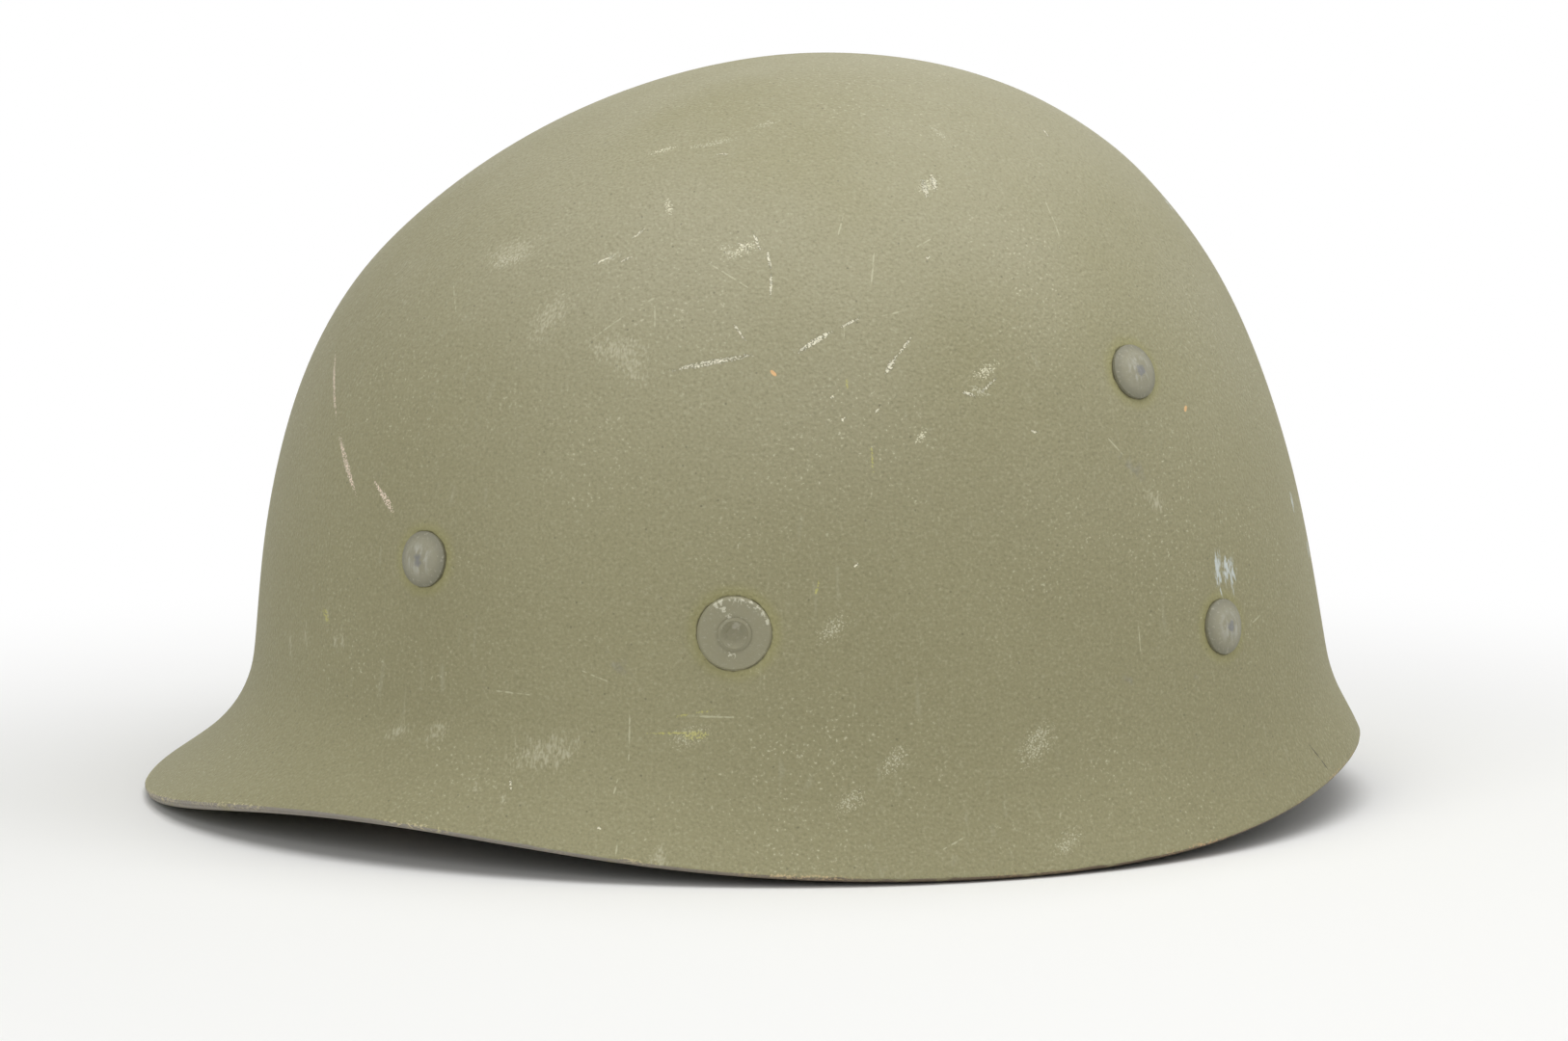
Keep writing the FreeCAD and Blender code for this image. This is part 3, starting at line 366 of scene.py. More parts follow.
PAINT_MARKS = [
    *marks_of(MarkKind.CHALK, 1.9, (682, 387, 796, 366), (820, 370, 868, 340), (918, 388, 929, 370)),
    *marks_of(MarkKind.CHALK, 1.0, (764, 250, 780, 262), (779, 236, 790, 264), (795, 256, 800, 284),
              (800, 280, 799, 312), (917, 388, 932, 366), (930, 370, 948, 346), (995, 405, 1014, 412),
              (1012, 412, 1036, 390), (654, 248, 670, 236), (639, 273, 658, 265), (868, 342, 896, 327)),
    *marks_of(MarkKind.DUST, 5.0, (612, 278, 655, 256), (741, 250, 768, 272), (690, 160, 792, 140),
              (774, 134, 814, 124), (955, 184, 966, 206), (1000, 402, 1030, 410), (960, 128, 990, 150)),
    *marks_of(MarkKind.SPECKLE, 4.0, (660, 164, 718, 148), (690, 200, 696, 230), (952, 458, 958, 448)),
    *marks_of(MarkKind.SPECKLE, 7.0, (1008, 392, 1034, 378), (950, 200, 974, 184), (750, 268, 790, 250)),
    *marks_of(MarkKind.CHALK, 0.9, (742, 160, 757, 159), (1081, 133, 1088, 142), (1067, 447, 1078, 449),
              (758, 332, 775, 356), (612, 276, 640, 263)),
    *marks_of(MarkKind.DUST, 9.0, (850, 664, 878, 640), (1056, 786, 1092, 746), (866, 844, 894, 820),
              (919, 798, 936, 780), (500, 276, 560, 262), (690, 770, 740, 757), (1096, 884, 1120, 862)),
    *marks_of(MarkKind.CHALK, 2.2, (956, 184, 962, 206), (966, 180, 970, 198)),
    *marks_of(MarkKind.ROSE, 1.6, (350, 350, 351, 450), (352, 450, 373, 524), (385, 492, 408, 534)),
    *marks_of(MarkKind.ROSE, 2.6, (350, 440, 372, 522), (396, 508, 408, 534)),
    *marks_of(MarkKind.HAIR, 0.6, (609, 355, 657, 321), (655, 322, 690, 303), (933, 266, 973, 244),
              (723, 266, 795, 311), (679, 314, 679, 345), (876, 218, 867, 252),
              (908, 243, 902, 312), (876, 330, 875, 354), (1145, 450, 1172, 480),
              (1290, 394, 1298, 416), (1296, 649, 1310, 635), (502, 715, 558, 722), (653, 729, 651, 808),
              (641, 806, 636, 826), (590, 690, 652, 716), (641, 866, 638, 892), (690, 742, 790, 745),
              (1080, 200, 1105, 262), (1228, 300, 1240, 330), (970, 886, 1012, 862), (905, 330, 940, 322),
              (470, 290, 474, 332), (1180, 640, 1184, 690)),
    *marks_of(MarkKind.BRUSH, 13.0, (610, 360, 672, 366), (628, 346, 668, 394), (560, 342, 578, 316)),
    *marks_of(MarkKind.BRUSH, 7.0, (440, 770, 466, 748), (566, 800, 606, 764), (1194, 516, 1202, 524),
              (683, 898, 684, 886), (406, 762, 420, 758)),
    *marks_of(MarkKind.BRUSH, 14.0, (530, 790, 600, 770), (500, 272, 560, 250)),
    *marks_of(MarkKind.DUST, 12.0, (1058, 796, 1094, 752)),
    *marks_of(MarkKind.BRUSH, 3.0, (300, 646, 302, 690), (338, 628, 339, 646), (347, 650, 348, 682),
              (354, 648, 355, 680), (316, 640, 318, 676), (492, 824, 494, 812), (521, 836, 522, 824)),
    *marks_of(MarkKind.YELLOW, 0.8, (903, 456, 906, 494), (851, 598, 844, 622), (696, 745, 718, 740),
              (720, 740, 742, 736), (658, 761, 736, 760), (878, 392, 879, 406)),
    *marks_of(MarkKind.YELLOW, 3.0, (708, 764, 734, 762), (336, 632, 340, 644)),
    *marks_of(MarkKind.GREY, 7.0, (1160, 470, 1190, 496), (640, 690, 652, 700)),
    *marks_of(MarkKind.GREY, 2.6, (1168, 704, 1172, 708), (1236, 702, 1240, 703)),
    *marks_of(MarkKind.WHITE, 4.2, (1262, 574, 1264, 606), (1270, 572, 1272, 608), (1277, 580, 1278, 606)),
    *marks_of(MarkKind.WHITE, 1.0, (1264, 604, 1272, 640), (1278, 604, 1281, 628)),
    *marks_of(MarkKind.WHITE, 3.0, (1206, 204, 1218, 220), (1338, 510, 1342, 530), (1355, 560, 1358, 580)),
    *marks_of(MarkKind.CHALK, 0.9, (909, 425, 910, 427), (874, 434, 875, 436), (887, 586, 888, 587),
              (863, 410, 864, 412), (962, 266, 963, 268), (620, 858, 622, 860), (529, 806, 530, 822)),
    *marks_of(MarkKind.RUST, 0.9, (1229, 423, 1230, 425), (801, 386, 803, 388)),
    *marks_of(MarkKind.CRACK, 0.36, (1358, 773, 1371, 789), (1370, 788, 1377, 798)),
]


# Meshes

def lengths_of(points: np.ndarray) -> np.ndarray:
    """Length along a row of points, up to each of them."""
    return np.concatenate([[0.0], np.cumsum(np.linalg.norm(np.diff(points, axis=0), axis=1))])


def read_at(wanted: np.ndarray, lengths: np.ndarray, values: np.ndarray) -> np.ndarray:
    """What a row of points carries at the wanted lengths, straight from one point to the next."""
    return np.stack([np.interp(wanted, lengths, column) for column in values.T], axis=1)


def closed_up(ring: np.ndarray) -> np.ndarray:
    """A ring's points, with the first one again at the end."""
    return np.concatenate([ring, ring[:1]])


def evened_ring(ring: np.ndarray, count: int) -> tuple[np.ndarray, np.ndarray]:
    """Spaces the points of a ring evenly.

    Args:
        ring: Its points, each of them once.
        count: How many it gets.

    Returns:
        The length up to each new point, and the points.
    """
    closed = closed_up(ring)
    lengths = lengths_of(closed)
    wanted = np.linspace(0, lengths[-1], count + 1)[:-1]
    return wanted, read_at(wanted, lengths, closed)


def smoothed(values: np.ndarray, rounds: int, closed: bool) -> np.ndarray:
    """Evens out values along their first axis.

    Args:
        values: Numbers or points, one row each.
        rounds: How many times each is averaged with its neighbours.
        closed: Whether the last is beside the first. The two ends stay put if it isn't.

    Returns:
        The evened values.
    """
    made = values.astype(float)
    for _ in range(rounds):
        evened = (np.roll(made, 1, axis=0) + made * 2 + np.roll(made, -1, axis=0)) / 4
        if not closed:
            evened[0], evened[-1] = made[0], made[-1]
        made = evened
    return made


def unit(vectors: np.ndarray) -> np.ndarray:
    """Vectors at length one."""
    return vectors / np.maximum(np.linalg.norm(vectors, axis=-1, keepdims=True), 1e-12)


def ripple(points: np.ndarray, scale: float, seed: float = 0.0) -> np.ndarray:
    """Smooth noise from about -1 to 1.

    Args:
        points: Where it is read.
        scale: Lumps per metre.
        seed: Number that gives other lumps.

    Returns:
        The noise at each point.
    """
    shift = Vector((seed, seed * 0.7, -seed))
    values = [noise.noise(Vector(point) * scale + shift) for point in points.reshape(-1, 3)]
    return np.array(values).reshape(points.shape[:-1])


@dataclass
class Draft:
    """Points, faces and surface coordinates gathered for one piece."""

    points: list[np.ndarray] = field(default_factory=list)
    faces: list[Face] = field(default_factory=list)
    carried: list[np.ndarray] = field(default_factory=list)
    count: int = 0

    def add(self, points: np.ndarray, carried: np.ndarray) -> int:
        """Adds points.

        Args:
            points: The points, in any layout by three.
            carried: What they carry, in the same layout.

        Returns:
            The number of the first point.
        """
        first = self.count
        self.points.append(points.reshape(-1, 3))
        self.carried.append(carried.reshape(-1, 3))
        self.count += len(self.points[-1])
        return first

    def grid(self, points: np.ndarray, carried: np.ndarray, caps: bool = False) -> int:
        """Adds a net of four-sided faces whose last column joins the first.

        Args:
            points: Rows by columns by three.
            carried: What the points carry, in the same layout.
            caps: Whether the first and the last row are each closed with one face.

        Returns:
            The number of the first point.
        """
        rows, columns = points.shape[:2]
        first = self.add(points, carried)
        number = first + np.arange(rows * columns).reshape(rows, columns)
        low, high = number[:-1], number[1:]
        corners = (low, np.roll(low, -1, axis=1), np.roll(high, -1, axis=1), high)
        self.faces += np.stack(corners, axis=-1).reshape(-1, 4).tolist()
        if caps:
            self.faces += [number[0][::-1].tolist(), number[-1].tolist()]
        return first

    def fan(self, tip: int, ring: Iterable[int]) -> None:
        """Closes a ring of points towards a tip."""
        around = list(ring)
        self.faces += [(tip, one, two) for one, two in zip(around, around[1:] + around[:1])]

    def piece(self, name: str, material: bpy.types.Material, body: str, slot: str,
              carries: str = "cloth", fill: bool = False) -> bpy.types.Object:
        """Makes the mesh object and puts it on its body.

        Args:
            name: Name of the piece.
            material: Its first finish.
            body: Body that it moves with.
            slot: Material slot of the record that the finish comes from. It is not used.
            carries: Name of the surface coordinates that the shader reads.
            fill: Whether open borders are filled.

        Returns:
            The new object.
        """
        mesh = bpy.data.meshes.new(name)
        mesh.from_pydata(np.concatenate(self.points).tolist(), [], self.faces)
        mesh.update()
        attribute = mesh.attributes.new(carries, "FLOAT_VECTOR", "POINT")
        attribute.data.foreach_set("vector", np.concatenate(self.carried).astype(np.float32).ravel())
        draft = bmesh.new()
        draft.from_mesh(mesh)
        if fill:
            borders = [edge for edge in draft.edges if edge.is_boundary]
            bmesh.ops.triangle_fill(draft, use_beauty=True, use_dissolve=False, edges=borders)
        bmesh.ops.recalc_face_normals(draft, faces=draft.faces)
        draft.to_mesh(mesh)
        draft.free()
        mesh.shade_smooth()
        mesh.materials.append(material)
        made = placed(name, mesh)
        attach(made, body)
        return made


class Solid:
    """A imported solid, read as points, edges and faces so that new pieces follow it."""

    def __init__(self, node: str) -> None:
        """Reads the node's mesh.

        Args:
            node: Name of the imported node.
        """
        self.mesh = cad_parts[node].data
        self.points = self._rows(self.mesh.vertices, "co", 3, float)
        self.edges = self._rows(self.mesh.edges, "vertices", 2, int)
        self.faces = [tuple(face.vertices) for face in self.mesh.polygons]
        self.middle = (self.points.min(axis=0) + self.points.max(axis=0)) / 2

    @staticmethod
    def _rows(parts: bpy.types.bpy_prop_collection, what: str, width: int, kind: type) -> np.ndarray:
        """Reads one property of all of a mesh's parts.

        Args:
            parts: Its vertices or edges.
            what: Name of the property.
            width: How many numbers the property holds.
            kind: Their type.

        Returns:
            One row of numbers for each part.
        """
        values = np.empty(len(parts) * width, kind)
        parts.foreach_get(what, values)
        return values.reshape(-1, width)

    def cut(self, origin: np.ndarray, normal: np.ndarray, towards: np.ndarray) -> np.ndarray:
        """Points where edges cross a half plane.

        Args:
            origin: A point of the plane's straight border.
            normal: The plane's normal.
            towards: Direction from the border into the half that counts.

        Returns:
            The crossing points.
        """
        height = (self.points - origin) @ normal
        low, high = height[self.edges[:, 0]], height[self.edges[:, 1]]
        crossing = (low > 0) != (high > 0)
        share = (low / np.where(crossing, low - high, 1.0))[crossing, None]
        start, end = self.points[self.edges[crossing, 0]], self.points[self.edges[crossing, 1]]
        found = start + (end - start) * share
        return found[(found - origin) @ towards > 0]

    def skins(self) -> list[list[Face]]:
        """Splits the solid into its smooth faces.

        Returns:
            The mesh faces of each, the largest first.
        """
        label = np.arange(len(self.points))
        before = None
        while before is None or (before != label).any():
            before = label.copy()
            least = np.minimum(label[self.edges[:, 0]], label[self.edges[:, 1]])
            np.minimum.at(label, self.edges[:, 0], least)
            np.minimum.at(label, self.edges[:, 1], least)
            label = label[label]
        groups, sizes = np.unique(label, return_counts=True)
        largest_first = groups[np.argsort(-sizes)]
        return [[face for face in self.faces if label[face[0]] == group] for group in largest_first]

    def outlines(self, origin: Vector, normal: Vector) -> list[np.ndarray]:
        """Closed curves where a plane cuts the solid.

        Args:
            origin: A point of the plane.
            normal: The plane's normal.

        Returns:
            A row of points for each curve.
        """
        draft = bmesh.new()
        draft.from_mesh(self.mesh)
        bmesh.ops.remove_doubles(draft, verts=draft.verts, dist=1e-6)
        parts = draft.verts[:] + draft.edges[:] + draft.faces[:]
        cut = bmesh.ops.bisect_plane(draft, geom=parts, plane_co=origin, plane_no=normal)["geom_cut"]
        draft.edges.index_update()
        waiting = {part.index: part for part in cut if isinstance(part, bmesh.types.BMEdge)}
        curves = []
        while waiting:
            edge = waiting.pop(min(waiting))
            start, corner = edge.verts
            curve = [start.co.copy()]
            while corner is not start:
                curve.append(corner.co.copy())
                edge = next(link for link in corner.link_edges if link.index in waiting)
                del waiting[edge.index]
                corner = edge.other_vert(corner)
            curves.append(np.array(curve))
        draft.free()
        return curves


# Finishes

OLIVE = (0.303, 0.283, 0.158)
# Colour of the painted sheen towards the crown.
OLIVE_SHEEN = (0.372, 0.350, 0.236)
OLIVE_DEEP = (0.245, 0.226, 0.122)


@dataclass(frozen=True)
class Seat:
    """Where a head or washer sits on the left half of the shell."""

    centre: Triple
    radius: float


@dataclass(frozen=True)
class Patch:
    """A mark's slim ellipsoid on the shell: its kind, its place and turn, and its half sizes."""

    kind: MarkKind
    turn: Matrix
    half: Triple


class Region(Enum):
    """Parts of the shell that each show their own marks, by material slot."""

    PLAIN = 0
    FRONT = 1
    REAR = 2

    @classmethod
    def at(cls, x: float) -> "Region":
        """Region of the marked side at that length."""
        return cls.FRONT if x < 0.004 else cls.REAR

    def holds(self, patch: Patch) -> bool:
        """Whether a mark reaches into the region, which a plain one never holds."""
        middle, reach = patch.turn.to_translation().x, patch.half[0]
        return self in (Region.at(middle - reach), Region.at(middle + reach))


@dataclass(frozen=True)
class ShellPaint:
    """Matt olive paint on moulded cotton laminate, with its halos, marks and worn rim, and with painted
    light: a sheen towards the crown, a contact shadow round each head, and a rim edge painted lit at the
    front and shaded at the rear.
    """

    seats: tuple[Seat, ...]
    patches: tuple[Patch, ...]
    dust: Triple = (0.48, 0.46, 0.32)
    shade: Triple = (0.17, 0.16, 0.085)
    pore: Triple = (0.11, 0.10, 0.06)
    speck: Triple = (0.66, 0.63, 0.45)
    rub: Triple = (0.45, 0.44, 0.32)
    halo: Triple = (0.325, 0.305, 0.115)
    # Colour of the painted contact shadow round each head.
    line: Triple = (0.085, 0.075, 0.040)
    # Colours of the cut edge and of its chips: painted light makes the front ones paler and the rear ones
    # darker.
    rim_lit_front: Triple = (0.345, 0.315, 0.270)
    rim_shaded_rear: Triple = (0.175, 0.130, 0.085)
    ply: Triple = (0.10, 0.085, 0.06)
    chip_lit_front: Triple = (0.62, 0.55, 0.33)
    chip_shaded_rear: Triple = (0.52, 0.37, 0.20)
    inside: Triple = (0.190, 0.180, 0.095)
    weave_gap: Triple = (0.08, 0.075, 0.04)

    def material(self, region: Region) -> bpy.types.Material:
        """Makes the material of one region.

        Args:
            region: Region that it is for.

        Returns:
            The new material.
        """
        recipe = Recipe.of(f"shell_paint_{region.name.lower()}")
        to_rim, side, _ = recipe.attribute("skin")
        inside = side.step(0.62, 0.95)
        colour, rough = self._paint(recipe)
        dent, colour = self._marks(recipe, region, self._seats(recipe, colour))
        colour = self._rim(recipe, to_rim, side, colour)
        weave = self._weave(recipe)
        lining = recipe.mix(recipe.noise(60.0, 4.0).step(0.35, 0.7), self.inside, OLIVE_DEEP)
        colour = recipe.mix(inside, colour, recipe.mix(weave * 0.35, lining, self.weave_gap))
        pebble = recipe.cells(1050.0).step(0.0, 0.9) * 0.6 + recipe.noise(2100.0, 3.0) * 0.7
        normal = recipe.bump(pebble, 0.20 * MM)
        normal = recipe.bump(weave * inside, 0.22 * MM, normal)
        normal = recipe.bump(recipe.noise(55.0, 2.0) - dent, 0.30 * MM, normal)
        return recipe.finish({
            "Base Color": colour, "Roughness": rough + inside * 0.08, "Normal": normal,
            "Specular IOR Level": 0.42, "IOR": 1.48,
        })

    def _paint(self, recipe: Recipe) -> tuple[Signal, Signal]:
        """Sprays the paint, with a painted sheen that makes it paler and greyer towards the crown.

        Args:
            recipe: Material that it goes into.

        Returns:
            Its colour and its roughness.
        """
        cloud = recipe.noise(11.0, 4.0).step(0.30, 0.72)
        colour = recipe.mix(cloud * 0.55, OLIVE, OLIVE_DEEP)
        # Painted sheen: the mask called worn makes the paint paler and greyer towards the crown, in noisy
        # patches, as light from above would.
        worn = recipe.coordinates[2].step(0.045, 0.150) * recipe.noise(16.0, 5.0).step(0.18, 0.72)
        colour = recipe.mix(worn * 0.80, colour, OLIVE_SHEEN)
        grain = recipe.noise(1500.0, 3.0)
        colour = recipe.mix(grain.step(0.50, 0.74) * 0.30, colour, self.dust)
        colour = recipe.mix(grain.step(0.48, 0.28) * 0.32, colour, self.shade)
        pores = recipe.cells(240.0).step(0.085, 0.035)
        colour = recipe.mix(pores * 0.5, colour, self.pore)
        specks = recipe.noise(1500.0, 2.0).step(0.66, 0.72) * recipe.noise(34.0, 3.0).step(0.46, 0.66)
        colour = recipe.mix(specks * 0.5, colour, self.speck)
        rubs = recipe.noise(1.0, 4.0, recipe.scaled(recipe.place, (520.0, 520.0, 45.0)))
        rubbed = rubs.step(0.60, 0.76) * recipe.noise(22.0, 3.0).step(0.48, 0.66)
        colour = recipe.mix(rubbed * 0.28, colour, self.rub)
        return colour, 0.56 + recipe.noise(24.0, 4.0) * 0.14

    def _seats(self, recipe: Recipe, colour: Signal) -> Signal:
        """Adds a yellowish halo round each rivet and washer, and a painted contact shadow: a dark line where
        each sits on the shell.

        Args:
            recipe: Material that they go into.
            colour: The paint.

        Returns:
            The paint with them on it.
        """
        for seat in self.seats:
            away = recipe.distance(recipe.folded, seat.centre) - seat.radius
            uneven = away + recipe.noise(420.0, 3.0) * MM - 0.5 * MM
            colour = recipe.mix(uneven.step(3.4 * MM, 0.3 * MM) * 0.45, colour, self.halo)
            # Painted contact shadow: a dark line right round the seat.
            colour = recipe.mix(uneven.step(0.45 * MM, 0.0) * 0.8, colour, self.line)
        return colour

    def _marks(self, recipe: Recipe, region: Region, colour: Signal) -> tuple[Signal | float, Signal]:
        """Adds a region's marks, one kind after the other.

        Args:
            recipe: Material that they go into.
            region: Region that the material is for.
            colour: The paint.

        Returns:
            How deep they go, and the paint with them on it.
        """
        dent = None
        for kind in MarkKind:
            look = kind.value
            near = None
            for patch in self.patches:
                if patch.kind is kind and region.holds(patch):
                    values = {"Vector": recipe.place, "Location": patch.turn.to_translation()[:],
                              "Rotation": patch.turn.to_euler()[:], "Scale": patch.half}
                    reach = recipe.length(recipe.node("Mapping", {"vector_type": "TEXTURE"}, values))
                    near = near.least(reach) if near else reach
            if not near:
                continue
            eaten = recipe.noise(look.grain, 3.0, recipe.scaled(recipe.place, look.stretch))
            faded = eaten + near.step(1.0, look.core) * 0.28 - 0.28
            mask = faded.step(look.cut, look.cut + look.soft) * near.step(1.05, 0.85)
            colour = recipe.mix(mask * look.strength, colour, look.colour)
            if kind in (MarkKind.CRACK, MarkKind.CHALK):
                dent = dent.most(mask) if dent else mask
        return dent or 0.0, colour

    def _rim(self, recipe: Recipe, to_rim: Signal, side: Signal, colour: Signal) -> Signal:
        """Adds the cut edge with its plies, and the chips of bare laminate along the rim's corner, with
        painted light on both: paler at the front, darker and browner at the rear.

        Args:
            recipe: Material that they go into.
            to_rim: Distance from the rim.
            side: 0 outside, 1 inside and in between on the edge.
            colour: The paint.

        Returns:
            The paint with the rim.
        """
        # Painted light: the cut edge and its chips blend from a lit front colour to a shaded rear colour.
        back = recipe.coordinates[0].step(-0.06, 0.06)
        cut_edge = recipe.mix(back, self.rim_lit_front, self.rim_shaded_rear)
        plies = (side * 40.0 + recipe.noise(300.0, 3.0) * 3.0).sine() * 0.5 + 0.5
        cut_edge = recipe.mix(plies * 0.35, cut_edge, self.ply)
        cut_edge = recipe.mix(recipe.noise(160.0, 4.0).step(0.56, 0.66) * 0.6, cut_edge, OLIVE)
        colour = recipe.mix(abs(side - 0.5).step(0.42, 0.30), colour, cut_edge)
        chip = recipe.mix(back, self.chip_lit_front, self.chip_shaded_rear)
        places = recipe.noise(34.0, 2.0).step(0.44, 0.60)
        flecks = recipe.noise(1300.0, 3.0).step(0.50, 0.60)
        close = to_rim.step(1.1 * MM, 0.1 * MM) * side.step(0.62, 0.40)
        return recipe.mix(close * flecks * places * 0.9, colour, chip)

    @staticmethod
    def _weave(recipe: Recipe) -> Signal:
        """Draws the plain weave of the laminate's cotton, which shows through the thin paint inside.

        Args:
            recipe: Material that it goes into.

        Returns:
            0 in the gaps and 1 on the yarns.
        """
        x, y, z = recipe.coordinates
        around = (y.maths("ARCTAN2", y, x - MIDDLE_X) * 480.0).sine() * 0.5 + 0.5
        up = (z * 4600.0).sine() * 0.5 + 0.5
        shows = recipe.noise(90.0, 3.0).step(0.25, 0.6) * z.step(0.150, 0.115)
        return (around * up + (1 - around) * (1 - up)) * shows


@dataclass(frozen=True)
class WornPaint:
    """Painted metal that has worn to bare metal at its crowns and edges."""

    name: str
    paint: Triple
    metal: Triple
    tops: tuple[Triple, ...]
    reach: float
    wear: float = 0.6
    metallic: float = 0.35
    border: float = 0.0
    grain: float = 420.0
    # Colour of the painted shade towards a head's edge.
    dark: Triple = (0.13, 0.125, 0.085)
    # Colour of the painted highlight round a head's top.
    rubbed: Triple = (0.50, 0.49, 0.43)
    dust: Triple = (0.46, 0.45, 0.36)

    def material(self) -> bpy.types.Material:
        """Makes the material, bare round its tops; with a border, it also gets painted shade darkening
        towards the border and a painted highlight in pale streaks round the tops.

        Returns:
            The new material.
        """
        recipe = Recipe.of(self.name)
        near = recipe.distance(recipe.folded, self.tops[0])
        for top in self.tops[1:]:
            near = near.least(recipe.distance(recipe.folded, top))
        streaks = recipe.noise(900.0, 4.0, recipe.scaled(recipe.place, (1.0, 1.0, 0.3)))
        crown = near + recipe.noise(self.grain, 3.0) * (4 * MM) - 1.4 * MM
        crown = crown.step(self.reach + 1.2 * MM, self.reach * 0.3)
        bare = (crown * 0.8 + streaks * 0.6).step(0.62, 0.98) * self.wear
        colour = recipe.mix(recipe.noise(500.0, 4.0) * 0.5, self.paint, OLIVE_DEEP)
        if self.border:
            # Painted shade: the head darkens towards its edge so that the dome looks rounded.
            painted_edge_shade = near.step(self.border * 0.62, self.border * 1.05)
            colour = recipe.mix(painted_edge_shade * 0.55, colour, self.dark)
            # Painted highlight: pale streaks round the top of the head.
            rubs = near.step(self.border * 0.75, self.border * 0.3) * streaks.step(0.42, 0.62)
            colour = recipe.mix(rubs * 0.5, colour, self.rubbed)
        colour = recipe.mix(recipe.noise(1400.0, 3.0).step(0.56, 0.75) * 0.4, colour, self.dust)
        rough = 0.50 - bare * 0.20 + recipe.noise(700.0) * 0.1
        normal = recipe.bump(recipe.noise(1300.0, 4.0) + streaks * 0.6, 0.12 * MM)
        return recipe.finish({
            "Base Color": recipe.mix(bare, colour, self.metal), "Metallic": bare * self.metallic,
            "Roughness": rough, "Normal": normal, "Specular IOR Level": 0.5,
        })


@dataclass(frozen=True)
class BareMetal:
    """Dull metal with a drawn grain, grime along that grain and spots of tarnish."""

    name: str
    metal: Triple
    grime: Triple
    rough: float = 0.42
    metallic: float = 0.9

    def material(self) -> bpy.types.Material:
        """Makes the material.

        Returns:
            The new material.
        """
        recipe = Recipe.of(self.name)
        grain = recipe.noise(2600.0, 3.0, recipe.scaled(recipe.place, (1.0, 0.12, 1.0)))
        spots = recipe.noise(420.0, 5.0).step(0.50, 0.68)
        colour = recipe.mix(grain * 0.45, self.metal, self.grime)
        colour = recipe.mix(spots * 0.7, colour, self.grime)
        return recipe.finish({
            "Base Color": colour, "Metallic": self.metallic - spots * 0.4,
            "Roughness": self.rough + spots * 0.25 + grain * 0.12,
            "Normal": recipe.bump(grain + spots * 0.8, 0.04 * MM),
        })


@dataclass(frozen=True)
class Webbing:
    """Cotton tape in herringbone twill, with plain selvedges and the grime of wear."""

    name: str
    yarn: Triple = (0.345, 0.305, 0.185)
    shade: Triple = (0.165, 0.140, 0.078)
    pale: Triple = (0.46, 0.42, 0.29)
    grime: Triple = (0.150, 0.120, 0.070)
    pitch: float = 0.95 * MM
    chevron: float = 5.6 * MM
    cross_pitch: float = 0.52 * MM
    plain_pitch: float = 0.8 * MM

    def material(self) -> bpy.types.Material:
        """Makes the material.

        Returns:
            The new material.
        """
        recipe = Recipe.of(self.name)
        along, across, selvedge = recipe.attribute("cloth")
        wobble = recipe.noise(700.0, 2.0) * (0.5 * MM)
        slope = abs(across % self.chevron - self.chevron / 2)
        ribs = self._yarns(along + slope * 1.5 + wobble, self.pitch)
        cross = self._yarns(across + wobble, self.cross_pitch)
        plain = self._yarns(along + wobble, self.plain_pitch)
        border = selvedge.step(0.80, 0.84)
        relief = (ribs * 0.75 + cross * 0.25) * (1 - border) + (plain * 0.6 + cross * 0.4) * border
        colour = recipe.mix(relief.step(0.15, 0.85), self.shade, self.yarn)
        colour = recipe.mix(recipe.noise(1600.0, 3.0).step(0.35, 0.75) * 0.35, colour, self.pale)
        dirt = recipe.noise(48.0, 5.0).step(0.46, 0.74)
        colour = recipe.mix(dirt * 0.55, colour, self.grime)
        fuzz = recipe.noise(5200.0, 2.0)
        return recipe.finish({
            "Base Color": colour, "Roughness": 0.88 - dirt * 0.08,
            "Normal": recipe.bump(relief + fuzz * 0.18, 0.28 * MM),
            "Specular IOR Level": 0.22, "Sheen Weight": 0.25, "Sheen Roughness": 0.55,
        })

    @staticmethod
    def _yarns(length: Signal, pitch: float) -> Signal:
        """Height of rounded yarns that repeat along a length."""
        return abs((length * (math.pi / pitch)).sine())


@dataclass(frozen=True)
class Leather:
    """Grained leather, rubbed paler at its edges, creased and rubbed along its length."""

    name: str
    hide: Triple
    deep: Triple
    rubbed: Triple
    grain: float = 850.0
    rough: float = 0.50

    def material(self) -> bpy.types.Material:
        """Makes the material.

        Returns:
            The new material.
        """
        recipe = Recipe.of(self.name)
        along, across, edge = recipe.attribute("cloth")
        pores = recipe.cells(self.grain).step(0.0, 0.62)
        fine = recipe.noise(self.grain * 2.6, 4.0)
        creases = recipe.noise(1.0, 4.0, recipe.joined(along * 420.0, across * 60.0, 0.0))
        crease = abs(creases - 0.5).step(0.045, 0.0)
        colour = recipe.mix(recipe.noise(30.0, 5.0).step(0.3, 0.7), self.hide, self.deep)
        colour = recipe.mix(pores.step(0.55, 0.15) * 0.45, colour, self.deep)
        colour = recipe.mix(crease * 0.5, colour, self.deep)
        worn = edge.step(0.86, 1.0) * recipe.noise(260.0, 4.0).step(0.42, 0.6)
        colour = recipe.mix(worn * 0.7, colour, self.rubbed)
        scuff = recipe.noise(75.0, 5.0).step(0.60, 0.72)
        return recipe.finish({
            "Base Color": recipe.mix(scuff * 0.4, colour, self.rubbed),
            "Roughness": self.rough + scuff * 0.2 + worn * 0.15 + fine * 0.1,
            "Normal": recipe.bump(pores + fine * 0.35 - crease * 0.9, 0.14 * MM),
            "Specular IOR Level": 0.45,
        })


